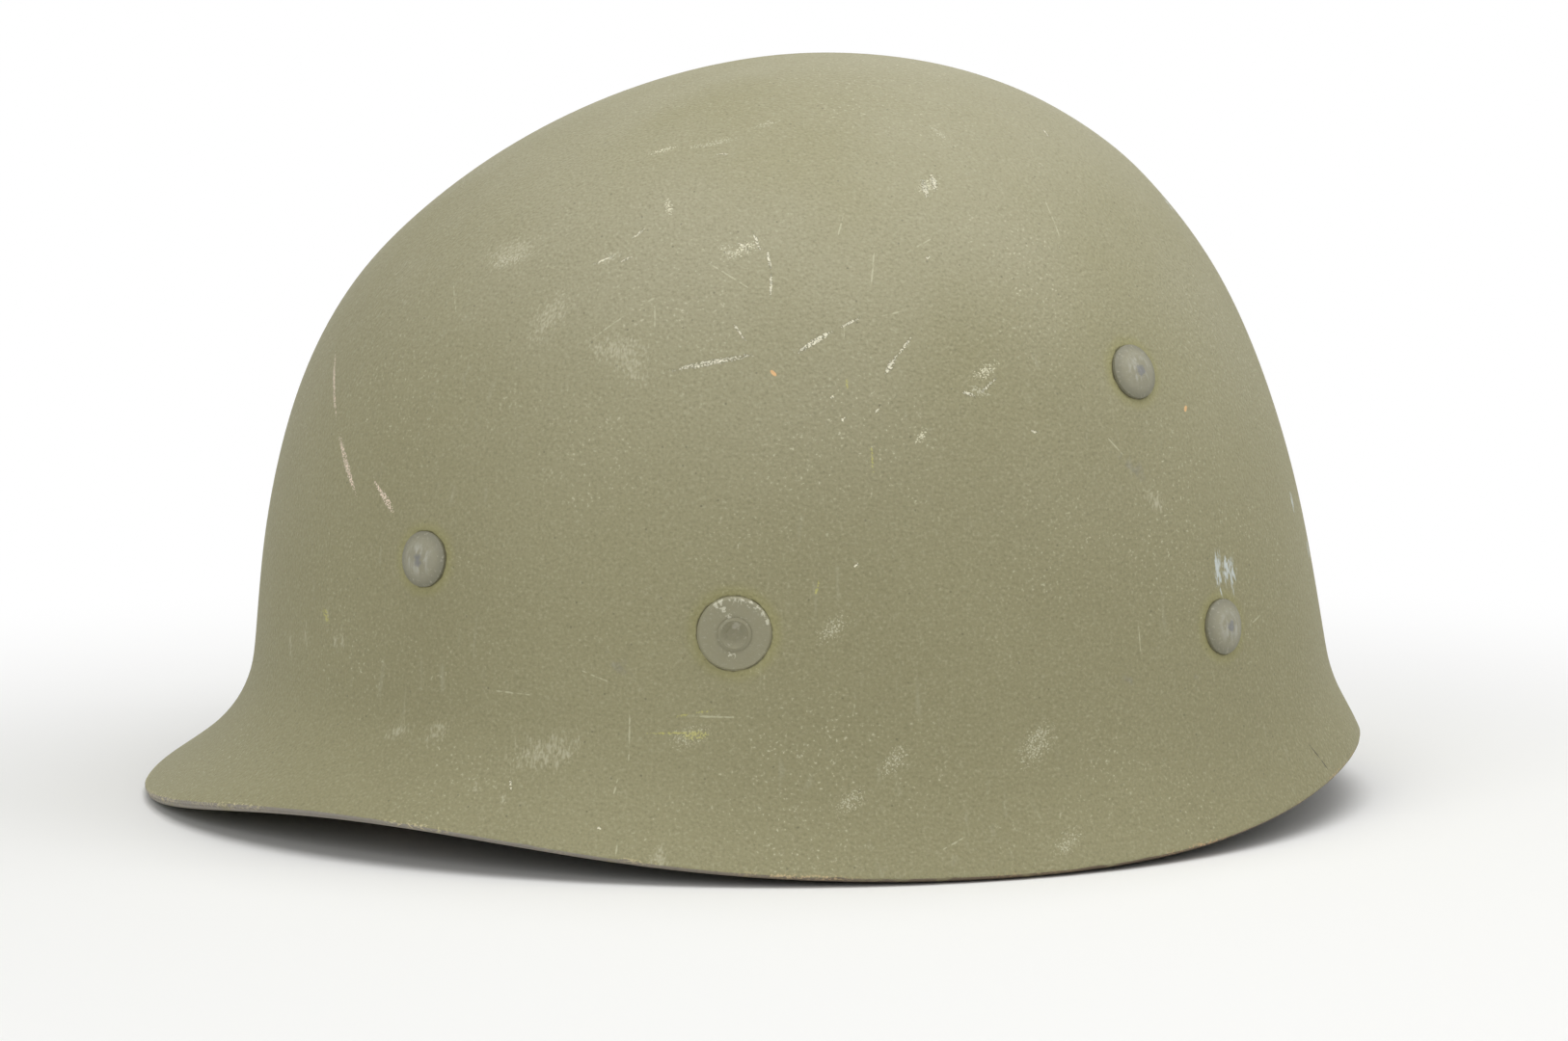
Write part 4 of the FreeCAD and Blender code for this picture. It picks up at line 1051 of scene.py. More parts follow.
@dataclass(frozen=True)
class Thread:
    """Twisted cotton thread of the seams."""

    name: str
    cotton: Triple = (0.46, 0.41, 0.27)
    shade: Triple = (0.22, 0.19, 0.11)

    def material(self) -> bpy.types.Material:
        """Makes the material.

        Returns:
            The new material.
        """
        recipe = Recipe.of(self.name)
        along, across, _ = recipe.attribute("cloth")
        twist = abs((along * 2600.0 + across).sine())
        colour = recipe.mix(twist, self.shade, self.cotton)
        colour = recipe.mix(recipe.noise(180.0, 3.0).step(0.5, 0.7) * 0.4, colour, self.shade)
        return recipe.finish({
            "Base Color": colour, "Roughness": 0.8 + twist * 0.1,
            "Normal": recipe.bump(twist, 0.12 * MM), "Specular IOR Level": 0.25,
        })


# Rivets and studs

def dress(nodes: Iterable[str], material: bpy.types.Material) -> list[str]:
    """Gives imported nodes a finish.

    Args:
        nodes: Names of the nodes.
        material: The finish.

    Returns:
        The same names.
    """
    names = list(nodes)
    for node in names:
        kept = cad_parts[node]
        kept.data.materials.clear()
        kept.data.materials.append(material)
    return names


@dataclass
class Rivets:
    """Domed rivets, flat washers and studs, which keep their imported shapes."""

    rivet_paint: Triple = (0.285, 0.275, 0.205)
    rivet_metal: Triple = (0.165, 0.168, 0.172)
    rivet_radius: float = 6.0 * MM
    dome: float = 2.0 * MM
    washer_paint: Triple = (0.272, 0.258, 0.172)
    # Pale colour of the washer's upper edge: bare metal that also stands for a painted highlight.
    washer_metal: Triple = (0.60, 0.58, 0.45)
    washer_radius: float = 7.95 * MM
    chips_radius: float = 7.6 * MM
    chips: tuple[int, ...] = (22, 36, 50, 64, 78, 92, 114, 124)
    scratches: tuple[Triple, ...] = ((-2.2, -1.0, 5.4), (-0.6, -1.0, -4.6), (-1.2, -1.0, 3.6))
    stud_paint: Triple = (0.240, 0.228, 0.152)
    stud_metal: Triple = (0.44, 0.42, 0.34)
    tops: list[Triple] = field(default_factory=list)

    def seats(self, skin: BVHTree) -> tuple[Seat, ...]:
        """Finds where the heads sit on the left half of the shell, and their tops.

        Args:
            skin: The shell's outer skin.

        Returns:
            The seats of the domed rivets and of the washer.
        """
        made = []
        for place in PLACES:
            points = Solid(f"{place}_rivet_left").points
            seat, outward, *_ = skin.find_nearest(Vector(points.mean(axis=0)))
            if outward.y > 0:
                outward = -outward
            side = outward.orthogonal().normalized()
            for line in (side, outward.cross(side)):
                reach = points @ np.array(line)
                seat = seat + line * ((reach.min() + reach.max()) / 2 - seat.dot(line))
            self.tops.append(tuple(seat + outward * self.dome))
            made.append(Seat(tuple(seat + outward * 0.3 * MM), self.rivet_radius))
        washer = middle_of("stud_washer_left") + Vector((0, 0.9 * MM, 0))
        return (*made, Seat(tuple(washer), self.washer_radius))

    def build(self) -> list[str]:
        """Gives the heads, washers and studs their finishes.

        Returns:
            Their names.
        """
        # The rivet radius is the border, which gives the heads their painted shade and painted highlight.
        heads = WornPaint("rivet_paint", self.rivet_paint, self.rivet_metal, tuple(self.tops),
                          2.2 * MM, 0.75, 0.25, self.rivet_radius).material()
        made = [name for place in PLACES for name in dress(paired(f"{place}_rivet"), heads)]
        centre = middle_of("stud_washer_left")
        # Bare spots along the washer's upper edge: partly worn paint, partly a painted highlight where light
        # from above catches the edge.
        bare = [centre + Vector((math.cos(turn), -0.13, math.sin(turn))) * self.chips_radius
                for turn in np.radians(self.chips)]
        bare += [centre + Vector(spot) * MM for spot in self.scratches]
        washers = WornPaint("washer_paint", self.washer_paint, self.washer_metal,
                            tuple(tuple(point) for point in bare), 0.9 * MM, 0.8, 0.1, grain=1500.0)
        made += dress(paired("stud_washer"), washers.material())
        top = tuple(middle_of("stud_left") + Vector((0, -4.0, 1.5)) * MM)
        studs = WornPaint("stud_paint", self.stud_paint, self.stud_metal, (top,), 1.6 * MM, 0.6, 0.1)
        return made + dress(paired("stud"), studs.material())


# Shell

@dataclass
class Shell:
    """The moulded shell: outer skin, cut edge and inner skin as one closed mesh."""

    rivets: Rivets
    columns: int = 420
    rows: int = 96
    middle: Triple = (MIDDLE_X, 0.0, 30 * MM)
    outward_from: Triple = (MIDDLE_X, 0.0, 60 * MM)
    unevenness: float = 0.07 * MM
    nick: float = 0.6 * MM
    edge_round: float = 0.4 * MM
    edge: tuple[Triple, ...] = ((0.0, 0.9, 0.0), (0.05, 0.3, 0.25), (0.2, 0.02, 0.4), (0.5, 0.0, 0.5),
                                (0.8, 0.02, 0.6), (0.95, 0.3, 0.75), (1.0, 0.9, 1.0))
    marked_to: float = 30 * MM

    def build(self) -> list[str]:
        """Makes and dresses the shell, with the seats of its rivets in the paint.

        Returns:
            The piece's name.
        """
        solid = Solid("shell")
        skins = sorted(solid.skins()[:2], key=lambda faces: -max(solid.points[face[0]][2] for face in faces))
        outer, inner = (BVHTree.FromPolygons(solid.points.tolist(), faces) for faces in skins)
        sheet, carried = self._sheet(self._skin(outer), self._skin(inner))
        draft = Draft()
        first = draft.grid(sheet, carried)
        last = first + (len(sheet) - 1) * self.columns
        for tree, start, side in ((outer, first, 0.0), (inner, last, 1.0)):
            top = tree.ray_cast(Vector(self.middle), Vector(ALONG_Z))[0]
            tip = draft.add(np.array([top]), np.array([[0.2, side, 0.0]]))
            draft.fan(tip, range(start, start + self.columns))
        paint = ShellPaint(self.rivets.seats(outer), self._patches(outer))
        made = draft.piece("shell_skin", paint.material(Region.PLAIN), "helmet", "shell_paint", "skin")
        for region in (Region.FRONT, Region.REAR):
            made.data.materials.append(paint.material(region))
        marked = last - self.rows * self.columns
        for face in made.data.polygons:
            if face.center.y < self.marked_to and face.vertices[0] < marked:
                face.material_index = Region.at(face.center.x).value
        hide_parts("shell")
        return [made.name]

    def _skin(self, tree: BVHTree) -> np.ndarray:
        """Reads one skin from its middle, down to the rim that is found by halving.

        Args:
            tree: The skin's faces.

        Returns:
            Points by rows from the crown to the rim, and by columns round the helmet.
        """
        middle = Vector(self.middle)
        columns = []
        for plan in np.arange(self.columns) * math.tau / self.columns:
            out = Vector((math.cos(plan), math.sin(plan), 0))
            low, high = math.radians(-30), 0.0
            for _ in range(22):
                tried = (low + high) / 2
                hit = tree.ray_cast(middle, out * math.cos(tried) + Vector((0, 0, math.sin(tried))))[0]
                low, high = (low, tried) if hit else (tried, high)
            angles = np.linspace(math.radians(88.6), high + 1e-6, self.rows * 2)
            lines = [out * math.cos(angle) + Vector((0, 0, math.sin(angle))) for angle in angles]
            hits = [tree.ray_cast(middle, line) for line in lines]
            reach = np.array([hit[3] if hit[0] else np.nan for hit in hits])
            found = ~np.isnan(reach)
            reach = np.interp(np.arange(len(reach)), np.flatnonzero(found), reach[found])
            columns.append(self._even(np.array(lines) * reach[:, None] + np.array(middle)))
        rows = smoothed(np.array(columns).transpose(1, 0, 2), 3, False)
        return smoothed(rows.transpose(1, 0, 2), 3, True).transpose(1, 0, 2)

    def _even(self, column: np.ndarray) -> np.ndarray:
        """Spaces a column's points evenly, but closer at the rim.

        Args:
            column: Points from the crown to the rim.

        Returns:
            One point for each row.
        """
        shares = 1 - (1 - np.linspace(0, 1, self.rows)) ** 1.25
        lengths = lengths_of(column)
        return read_at(shares * lengths[-1], lengths, column)

    def _sheet(self, outer: np.ndarray, inner: np.ndarray) -> tuple[np.ndarray, np.ndarray]:
        """Joins the skins over the edge, with slight waves outside and nicks along the rim.

        Args:
            outer: Rows of the outer skin from the crown down.
            inner: Rows of the inner skin from the crown down.

        Returns:
            Rows from the crown down the outside and up the inside, and what they carry: the distance from
            the rim, and 0 outside to 1 inside.
        """
        spread = ripple(outer, 26.0) * self.unevenness
        outward = unit(outer - np.array(self.outward_from))
        outer = outer + outward * (spread * np.linspace(1, 0.3, self.rows)[:, None])[..., None]
        down = unit(outer[-1] - outer[-3])
        nicks = np.maximum(ripple(outer[-1], 210.0, 3.0) - 0.25, 0)[:, None] * self.nick
        lip = outer[-1] - down * (nicks + 0.03 * MM)
        edge = [lip + (inner[-1] - lip) * share - down * self.edge_round * depth
                for share, depth, _ in self.edge]
        sheet = np.array([*outer[:-1], *edge, *inner[:-1][::-1]])
        carried = np.zeros_like(sheet)
        gaps = np.linalg.norm(np.diff(outer, axis=0), axis=2)
        to_rim = np.cumsum(gaps[::-1], axis=0)[::-1]
        carried[:self.rows - 1, :, 0] = to_rim
        carried[1 - self.rows:, :, 0] = to_rim[::-1]
        sides = [0.0] * (self.rows - 1) + [side for *_, side in self.edge] + [1.0] * (self.rows - 1)
        carried[..., 1] = np.array(sides)[:, None]
        return sheet, carried

    @staticmethod
    def _patches(skin: BVHTree) -> tuple[Patch, ...]:
        """Turns each mark's pixels into a slim ellipsoid on the shell.

        Args:
            skin: The shell's outer skin.

        Returns:
            The ellipsoids.
        """
        made = []
        for mark in PAINT_MARKS:
            start, normal, *_ = skin.ray_cast(*VIEW.ray(*mark.start))
            end = skin.ray_cast(*VIEW.ray(*mark.end))[0]
            if start is None or end is None:
                log.warning("mark at %s lies off the shell", mark.start)
                continue
            along = end - start
            length = max(along.length, mark.width)
            along = along.normalized() if along.length > MM / 2 else normal.orthogonal().normalized()
            side = normal.cross(along).normalized()
            turn = Matrix((along, side, along.cross(side))).transposed().to_4x4()
            turn.translation = (start + end) / 2
            made.append(Patch(mark.kind, turn, ((length + mark.width) / 2, mark.width / 2, 20 * MM)))
        return tuple(made)


# Tapes and straps

class Weft(Enum):
    """Cross-sections of a tape, by how much its borders swell: woven flat, or leather."""

    WOVEN = 0.10
    LEATHER = -0.12


@dataclass
class Tape:
    """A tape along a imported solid: middle points, directions and half sizes of its sections."""

    centre: np.ndarray
    across: np.ndarray
    out: np.ndarray
    half: np.ndarray
    closed: bool = False

    @classmethod
    def along(cls, node: str, centre: np.ndarray, first: np.ndarray, second: np.ndarray,
              angles: np.ndarray, closed: bool = False) -> "Tape":
        """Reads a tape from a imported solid, cut by half planes that fan about an axis.

        Args:
            node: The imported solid.
            centre: A point of the axis.
            first: Direction of the half plane at angle 0.
            second: Direction at a quarter turn.
            angles: Angles of the half planes.
            closed: Whether the tape is a ring.

        Returns:
            The tape, evened along its length.
        """
        solid = Solid(node)
        axis = np.cross(first, second)
        turns = np.radians(np.arange(-90, 90, 0.5))
        spans = np.stack([np.cos(turns), np.sin(turns)])
        sections = []
        for angle in angles:
            towards = first * math.cos(angle) + second * math.sin(angle)
            normal = second * math.cos(angle) - first * math.sin(angle)
            found = solid.cut(centre, normal, towards)
            if len(found) < 4:
                continue
            flat = np.stack([(found - centre) @ towards, (found - centre) @ axis], axis=1)
            thin = spans[:, int(np.argmin(np.ptp(flat @ spans, axis=0)))]
            thin = thin if thin[0] > 0 else -thin
            broad = np.array([-thin[1], thin[0]])
            thick, wide = flat @ thin, flat @ broad
            middle = thin * (thick.min() + thick.max()) / 2 + broad * (wide.min() + wide.max()) / 2
            plane = np.stack([towards, axis])
            sections.append((centre + middle @ plane, broad @ plane, thin @ plane,
                             (np.ptp(wide) / 2, np.ptp(thick) / 2)))
        parts = [smoothed(np.array(part), 2, closed) for part in zip(*sections)]
        parts[3] = np.repeat(np.median(parts[3], axis=0)[None], len(parts[3]), axis=0)
        centres, across, out, half = (closed_up(part) if closed else part for part in parts)
        return cls(centres, unit(across), unit(out), half, closed)

    @classmethod
    def ring(cls, node: str, steps: int, start: float) -> "Tape":
        """Reads a ring of tape round the helmet's upright axis.

        Args:
            node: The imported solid.
            steps: How many sections it gets.
            start: Angle of the first one from the rear, in degrees.

        Returns:
            The ring.
        """
        angles = np.linspace(0, math.tau, steps, endpoint=False) + math.radians(start)
        return cls.along(node, ALONG_X * MIDDLE_X, ALONG_X, ALONG_Y, angles, closed=True)

    @property
    def length(self) -> float:
        """Length of the whole tape."""
        return lengths_of(self.centre)[-1]

    def part(self, start: float, end: float, spacing: float = 1.5 * MM) -> "Tape":
        """Takes a stretch of the tape.

        Args:
            start: Length where it starts.
            end: Length where it ends.
            spacing: Length from one section to the next.

        Returns:
            The stretch.
        """
        lengths = lengths_of(self.centre)
        wanted = np.linspace(start, end, max(2, round((end - start) / spacing)))
        parts = (read_at(wanted, lengths, part) for part in (self.centre, self.across, self.out, self.half))
        centre, across, out, half = parts
        return Tape(centre, unit(across), unit(out), half)

    def moved(self, lift: float, thick: float) -> "Tape":
        """The tape moved outwards, with another thickness."""
        half = np.stack([self.half[:, 0], np.full(len(self.half), thick / 2)], axis=1)
        return replace(self, centre=self.centre + self.out * lift, half=half)

    def settled(self, wave: float, scale: float, seed: float) -> "Tape":
        """Gives the tape the slight waves of use, which fade where a ring closes.

        Args:
            wave: Height of the waves.
            scale: Waves per metre.
            seed: Number that gives other waves.

        Returns:
            The waved tape.
        """
        lift = ripple(self.centre, scale, seed)[:, None] * wave
        sway = ripple(self.centre, scale * 0.7, seed + 5)[:, None] * wave * 0.8
        if self.closed:
            lengths = lengths_of(self.centre)
            fade = np.minimum(1, np.minimum(lengths, lengths[::-1]) / (30 * MM))[:, None]
            lift, sway = lift * fade, sway * fade
        return replace(self, centre=self.centre + self.out * lift + self.across * sway)

    def at(self, along: np.ndarray, across: np.ndarray, lift: float) -> tuple[np.ndarray, np.ndarray]:
        """Reads points on the tape.

        Args:
            along: Lengths from the start.
            across: Distances from the middle line.
            lift: Distance outwards from the middle of its thickness.

        Returns:
            The points and their outward normals.
        """
        lengths = lengths_of(self.centre)
        centre, side, out = (read_at(along, lengths, part) for part in (self.centre, self.across, self.out))
        return centre + side * across[:, None] + out * lift, out

    def mesh(self, draft: Draft, weft: Weft, first_length: float = 0.0) -> None:
        """Adds the tape's surface to a draft.

        Args:
            draft: Receives the points and faces.
            weft: Cross-section.
            first_length: Length that the weave starts from.
        """
        corner = min(0.45, self.half[0][1] / self.half[0][0] * 0.95)
        flat = np.linspace(-1 + corner, 1 - corner, 13)
        bend = np.linspace(math.pi / 2, -math.pi / 2, 7)[1:-1]
        right = [(1 - corner + corner * math.cos(turn), math.sin(turn)) for turn in bend]
        left = [(-across, lift) for across, lift in reversed(right)]
        profile = np.array([*((across, 1.0) for across in flat), *right,
                            *((across, -1.0) for across in flat[::-1]), *left])
        border = np.exp(-((np.abs(profile[:, 0]) - 0.86) / 0.07) ** 2) * weft.value
        shape = profile[:, 1] * (1 + border)
        points = (self.centre[:, None] + self.across[:, None] * (profile[:, 0, None] * self.half[:, None, :1])
                  + self.out[:, None] * (shape[:, None] * self.half[:, None, 1:]))
        carried = np.zeros_like(points)
        carried[..., 0] = first_length + lengths_of(self.centre)[:, None]
        carried[..., 1] = profile[:, 0] * self.half[:, :1]
        carried[..., 2] = np.abs(profile[:, 0])
        draft.grid(points, carried, caps=True)


@dataclass
class Seam:
    """Rows of stitches that lie on a tape or plate."""

    thread: Thread
    pitch: float = 3.0 * MM
    radius: float = 0.30 * MM
    sides: int = 6
    draft: Draft = field(default_factory=Draft)

    def row(self, points: np.ndarray, normals: np.ndarray) -> None:
        """Adds stitches along a row of points.

        Args:
            points: The points.
            normals: The surface's normal at each of them.
        """
        lengths = lengths_of(points)
        count = max(1, int(lengths[-1] / self.pitch))
        for start in np.arange(count) * lengths[-1] / count:
            wanted = start + np.linspace(0.06, 0.80, 6) * self.pitch
            self._stitch(read_at(wanted, lengths, points), unit(read_at(wanted, lengths, normals)))

    def _stitch(self, centre: np.ndarray, up: np.ndarray) -> None:
        """Adds one stitch whose ends dive into the cloth.

        Args:
            centre: Points along the stitch.
            up: The surface's normal at each of them.
        """
        share = np.linspace(0, 1, len(centre))
        arch = np.sin(share * math.pi) ** 0.6
        centre = centre + up * ((arch - 0.75) * self.radius)[:, None]
        side = unit(np.cross(unit(np.gradient(centre, axis=0)), up))
        turns = np.linspace(0, math.tau, self.sides + 1)[:-1]
        ring = side[:, None] * np.cos(turns)[None, :, None] + up[:, None] * np.sin(turns)[None, :, None]
        carried = np.zeros((len(centre), self.sides, 3))
        carried[..., 0] = (share * self.pitch)[:, None]
        carried[..., 1] = turns[None]
        size = self.radius * (0.55 + 0.45 * arch)[:, None, None]
        self.draft.grid(centre[:, None] + ring * size, carried, caps=True)

    def line(self, tape: Tape, one: tuple[float, float], two: tuple[float, float], face: int) -> None:
        """Stitches a straight line on a tape.

        Args:
            tape: Tape that is sewn.
            one: Where the line starts, along and across.
            two: Where it ends.
            face: 1 for the outer face, -1 for the inner one.
        """
        along, across = np.linspace(one, two, max(3, int(math.dist(one, two) / (2 * MM)))).T
        points, normals = tape.at(along, across, tape.half[0][1] * face)
        self.row(points, normals * face)

    def box(self, tape: Tape, start: float, end: float, half_width: float, face: int) -> None:
        """Stitches a box with a cross on a tape.

        Args:
            tape: Tape that is sewn.
            start: Length where the box starts.
            end: Length where it ends.
            half_width: Half its width.
            face: 1 for the outer face, -1 for the inner one.
        """
        corners = [(start, -half_width), (end, -half_width), (end, half_width), (start, half_width)]
        for one, two in ((0, 1), (1, 2), (2, 3), (3, 0), (0, 2), (1, 3)):
            self.line(tape, corners[one], corners[two], face)

    def piece(self, name: str, body: str, slot: str) -> list[str]:
        """Makes the stitches one piece, and returns its name."""
        return [self.draft.piece(name, self.thread.material(), body, slot).name]


@dataclass
class WebLoop:
    """Short tape folded round a hanger's bar, its tail sewn to a strap or to the band."""

    node: str
    spacing: float = 0.7 * MM
    round: float = 0.35 * MM
    profile: tuple[tuple[float, float], ...] = ((-1, 1.0), (-0.985, 0.5), (-0.95, 0.0), (-0.5, 0.0), (0, 0.0),
                                                (0.5, 0.0), (0.95, 0.0), (0.985, 0.5), (1, 1.0))
    seam_drops: tuple[float, float] = (1.8 * MM, 5.2 * MM)

    def build(self, webbing: bpy.types.Material, seams: Seam) -> list[str]:
        """Makes the loop from its packed outline, with rounded selvedges and flat filled sides.

        Args:
            webbing: Finish of the tape.
            seams: Receives the stitches.

        Returns:
            The piece's name.
        """
        solid = Solid(self.node)
        across = self._across(solid)
        half = np.ptp((solid.points - solid.middle) @ across) / 2
        draft = Draft()
        for curve in sorted(solid.outlines(Vector(solid.middle), Vector(across)), key=len, reverse=True):
            self._wall(draft, curve, across, half)
        made = draft.piece(f"{self.node}_tape", webbing, "helmet", "webbing", fill=True)
        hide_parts(self.node)
        self._sew(solid, across, half, seams)
        return [made.name]

    @staticmethod
    def _across(solid: Solid) -> np.ndarray:
        """Finds the direction of the tape's width, which the largest upright faces share.

        Args:
            solid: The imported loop.

        Returns:
            The level direction.
        """
        corners = solid.points[np.array([face[:3] for face in solid.faces])]
        normals = np.cross(corners[:, 1] - corners[:, 0], corners[:, 2] - corners[:, 0])
        areas = np.linalg.norm(normals, axis=1)
        level = np.abs(normals[:, 2]) < areas * 0.05
        order = np.argsort(-areas[level])
        plan, weights = unit(normals[level][order][:, :2]), areas[level][order]
        votes = [weights[np.abs(plan @ vector) > 0.999].sum() for vector in plan[:40]]
        return np.array([*plan[int(np.argmax(votes))], 0.0])

    def _wall(self, draft: Draft, curve: np.ndarray, across: np.ndarray, half: float) -> None:
        """Adds the tape's face along one outline, rounded towards both selvedges.

        Args:
            draft: Receives the points and faces.
            curve: The outline.
            across: Direction of the tape's width.
            half: Half its width.
        """
        curve = np.roll(curve, -int(np.argmax(curve[:, 2])), axis=0)
        count = max(12, round(lengths_of(closed_up(curve))[-1] / self.spacing)) - 1
        wanted, even = evened_ring(curve, count)
        ahead = unit(np.roll(even, -1, axis=0) - np.roll(even, 1, axis=0))
        outside = np.cross(ahead, across)
        if ((even - even.mean(axis=0)) * outside).sum() <= 0:
            outside = -outside
        rows = [even + across * half * share - outside * self.round * sink for share, sink in self.profile]
        carried = [np.stack([wanted, np.full(count, half * share), np.full(count, abs(share) * 0.8)], axis=1)
                   for share, _ in self.profile]
        draft.grid(np.array(rows), np.array(carried))

    def _sew(self, solid: Solid, across: np.ndarray, half: float, seams: Seam) -> None:
        """Stitches two rows over the sewn tail.

        Args:
            solid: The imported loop.
            across: Direction of the tape's width.
            half: Half its width.
            seams: Receives the stitches.
        """
        points, middle = solid.points, solid.middle
        top = points[:, 2].max()
        inwards = unit(np.array([MIDDLE_X, 0.0, middle[2]]) - middle)
        for drop in self.seam_drops:
            level = points[np.abs(points[:, 2] - top + drop) < 4 * MM]
            start = middle + inwards * ((level - middle) @ inwards).max()
            start[2] = top - drop
            ends = np.array([start + across * half * share for share in (-0.85, 0.85)])
            seams.row(ends, np.array([inwards, inwards]))


@dataclass
class CrownPatch:
    """Square of webbing that is sewn under the crossing of the crown straps."""

    node: str = "crown_patch"
    round: float = 0.6 * MM
    dip: float = 0.18 * MM
    points: int = 96
    seam: float = 0.84
    shares: tuple[float, ...] = (0.2, 0.45, 0.7, 0.84, 0.93, 0.975, 1.0)

    def build(self, webbing: bpy.types.Material, seams: Seam) -> list[str]:
        """Makes the patch from its packed outline, sewn along its border and crosswise.

        Args:
            webbing: Finish of the tape.
            seams: Receives the stitches.

        Returns:
            The piece's name.
        """
        low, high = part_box(self.node)
        half = (high.z - low.z) / 2
        outline = Solid(self.node).outlines((low + high) / 2, Vector(ALONG_Z))[0]
        centre = outline.mean(axis=0)
        _, even = evened_ring(outline, self.points)
        rows = []
        lower = [(-1, share) for share in self.shares]
        upper = [(1, share) for share in self.shares[::-1]]
        for face, share in lower + upper:
            row = centre + (even - centre) * share
            sink = self.round * max(0.0, share - 0.93) / 0.07
            dip = math.exp(-((share - self.seam) / 0.05) ** 2) * self.dip
            row[:, 2] = centre[2] + face * (half - sink - dip)
            rows.append(row)
        points = np.array(rows)
        carried = points.copy()
        carried[..., 2] = 0.4
        draft = Draft()
        draft.grid(points, carried, caps=True)
        made = draft.piece("crown_patch_tape", webbing, "helmet", "webbing")
        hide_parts(self.node)
        self._sew(centre + (even - centre) * self.seam, centre[2] - half, seams)
        return [made.name]

    def _sew(self, border: np.ndarray, height: float, seams: Seam) -> None:
        """Stitches the border and two lines that cross.

        Args:
            border: Ring of points.
            height: Height of the lower face.
            seams: Receives the stitches.
        """
        border = closed_up(border)
        border[:, 2] = height
        seams.row(border, np.tile(-ALONG_Z, (len(border), 1)))
        quarter = self.points // 4
        shares = np.linspace(0.04, 0.96, 12)[:, None]
        for one in (0, quarter):
            line = border[one] * (1 - shares) + border[one + 2 * quarter] * shares
            seams.row(line, np.tile(-ALONG_Z, (len(line), 1)))


@dataclass
class Hangers:
    """Pressed hangers of painted steel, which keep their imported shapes."""

    paint: Triple = (0.185, 0.180, 0.105)
    metal: Triple = (0.33, 0.32, 0.29)

    def build(self) -> list[str]:
        """Dresses the hangers, worn where the webbing rubs on the bar.

        Returns:
            Their names.
        """
        bars = []
        for place in PLACES:
            middle = middle_of(f"{place}_hanger_left")
            bars.append((middle.x, middle.y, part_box(f"{place}_hanger_left")[0].z + 2 * MM))
        finish = WornPaint("hanger_paint", self.paint, self.metal, tuple(bars), 9 * MM, 0.65, 0.8).material()
        return [name for place in PLACES for name in dress(paired(f"{place}_hanger"), finish)]


@dataclass
class Suspension:
    """Webbing inside the shell: head band, crown straps, loops on the hangers, and the patch."""

    webbing: Webbing = Webbing("webbing")
    thread: Thread = Thread("webbing_thread")
    wave: float = 0.25 * MM
    band_steps: int = 300
    lap: tuple[float, float] = (0.8 * MM, 34 * MM)
    lap_box: tuple[float, float, float] = (3 * MM, 30 * MM, 11.5 * MM)
    strap_box: tuple[float, float, float] = (3 * MM, 20 * MM, 8.5 * MM)

    def build(self) -> list[str]:
        """Makes every piece of webbing with its seams, and dresses the hangers.

        Returns:
            The pieces' names.
        """
        webbing = self.webbing.material()
        seams = Seam(self.thread)
        made = self._head_band(webbing, seams)
        for index, side in enumerate((*SIDES, "side")):
            made += self._crown_strap(f"crown_strap_{side}", webbing, seams, 11.0 + index)
        for place in PLACES:
            for node in paired(f"{place}_loop"):
                made += WebLoop(node).build(webbing, seams)
        made += CrownPatch().build(webbing, seams)
        made += seams.piece("webbing_stitches", "helmet", "webbing")
        return made + Hangers().build()

    def _head_band(self, webbing: bpy.types.Material, seams: Seam) -> list[str]:
        """Makes the head band, a ring of tape whose ends lap over each other and are sewn.

        Args:
            webbing: Finish of the tape.
            seams: Receives the stitches.

        Returns:
            The piece's name.
        """
        band = Tape.ring("head_band", self.band_steps, 201).settled(self.wave, 30.0, 1.0)
        draft = Draft()
        band.mesh(draft, Weft.WOVEN)
        lap = band.part(*self.lap).moved(1.4 * MM, 1.2 * MM)
        lap.mesh(draft, Weft.WOVEN, 0.4 * MM)
        seams.box(lap, *self.lap_box, 1)
        made = draft.piece("head_band_tape", webbing, "helmet", "webbing")
        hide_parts("head_band")
        return [made.name]

    def _crown_strap(self, node: str, webbing: bpy.types.Material, seams: Seam, seed: float) -> list[str]:
        """Makes a strap over the crown, sewn to the head band at both ends.

        Args:
            node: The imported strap.
            webbing: Finish of the tape.
            seams: Receives the stitches.
            seed: Number that gives the strap its own waves.

        Returns:
            The piece's name.
        """
        points = Solid(node).points[:, :2]
        run = np.linalg.svd(points - points.mean(axis=0), full_matrices=False)[2][0]
        run = np.array([*run, 0.0]) * (1 if run[0] >= 0 else -1)
        centre = np.array([*middle_of(node)[:2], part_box(node)[0].z - 0.5 * MM])
        angles = np.radians(np.arange(0.2, 179.9, 1.0))
        strap = Tape.along(node, centre, run, ALONG_Z, angles).settled(self.wave, 24.0, seed)
        draft = Draft()
        strap.mesh(draft, Weft.WOVEN)
        near, far, half_width = self.strap_box
        for start, end in ((near, far), (strap.length - far, strap.length - near)):
            seams.box(strap, start, end, half_width, -1)
        made = draft.piece(f"{node}_tape", webbing, "helmet", "webbing")
        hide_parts(node)
        return [made.name]


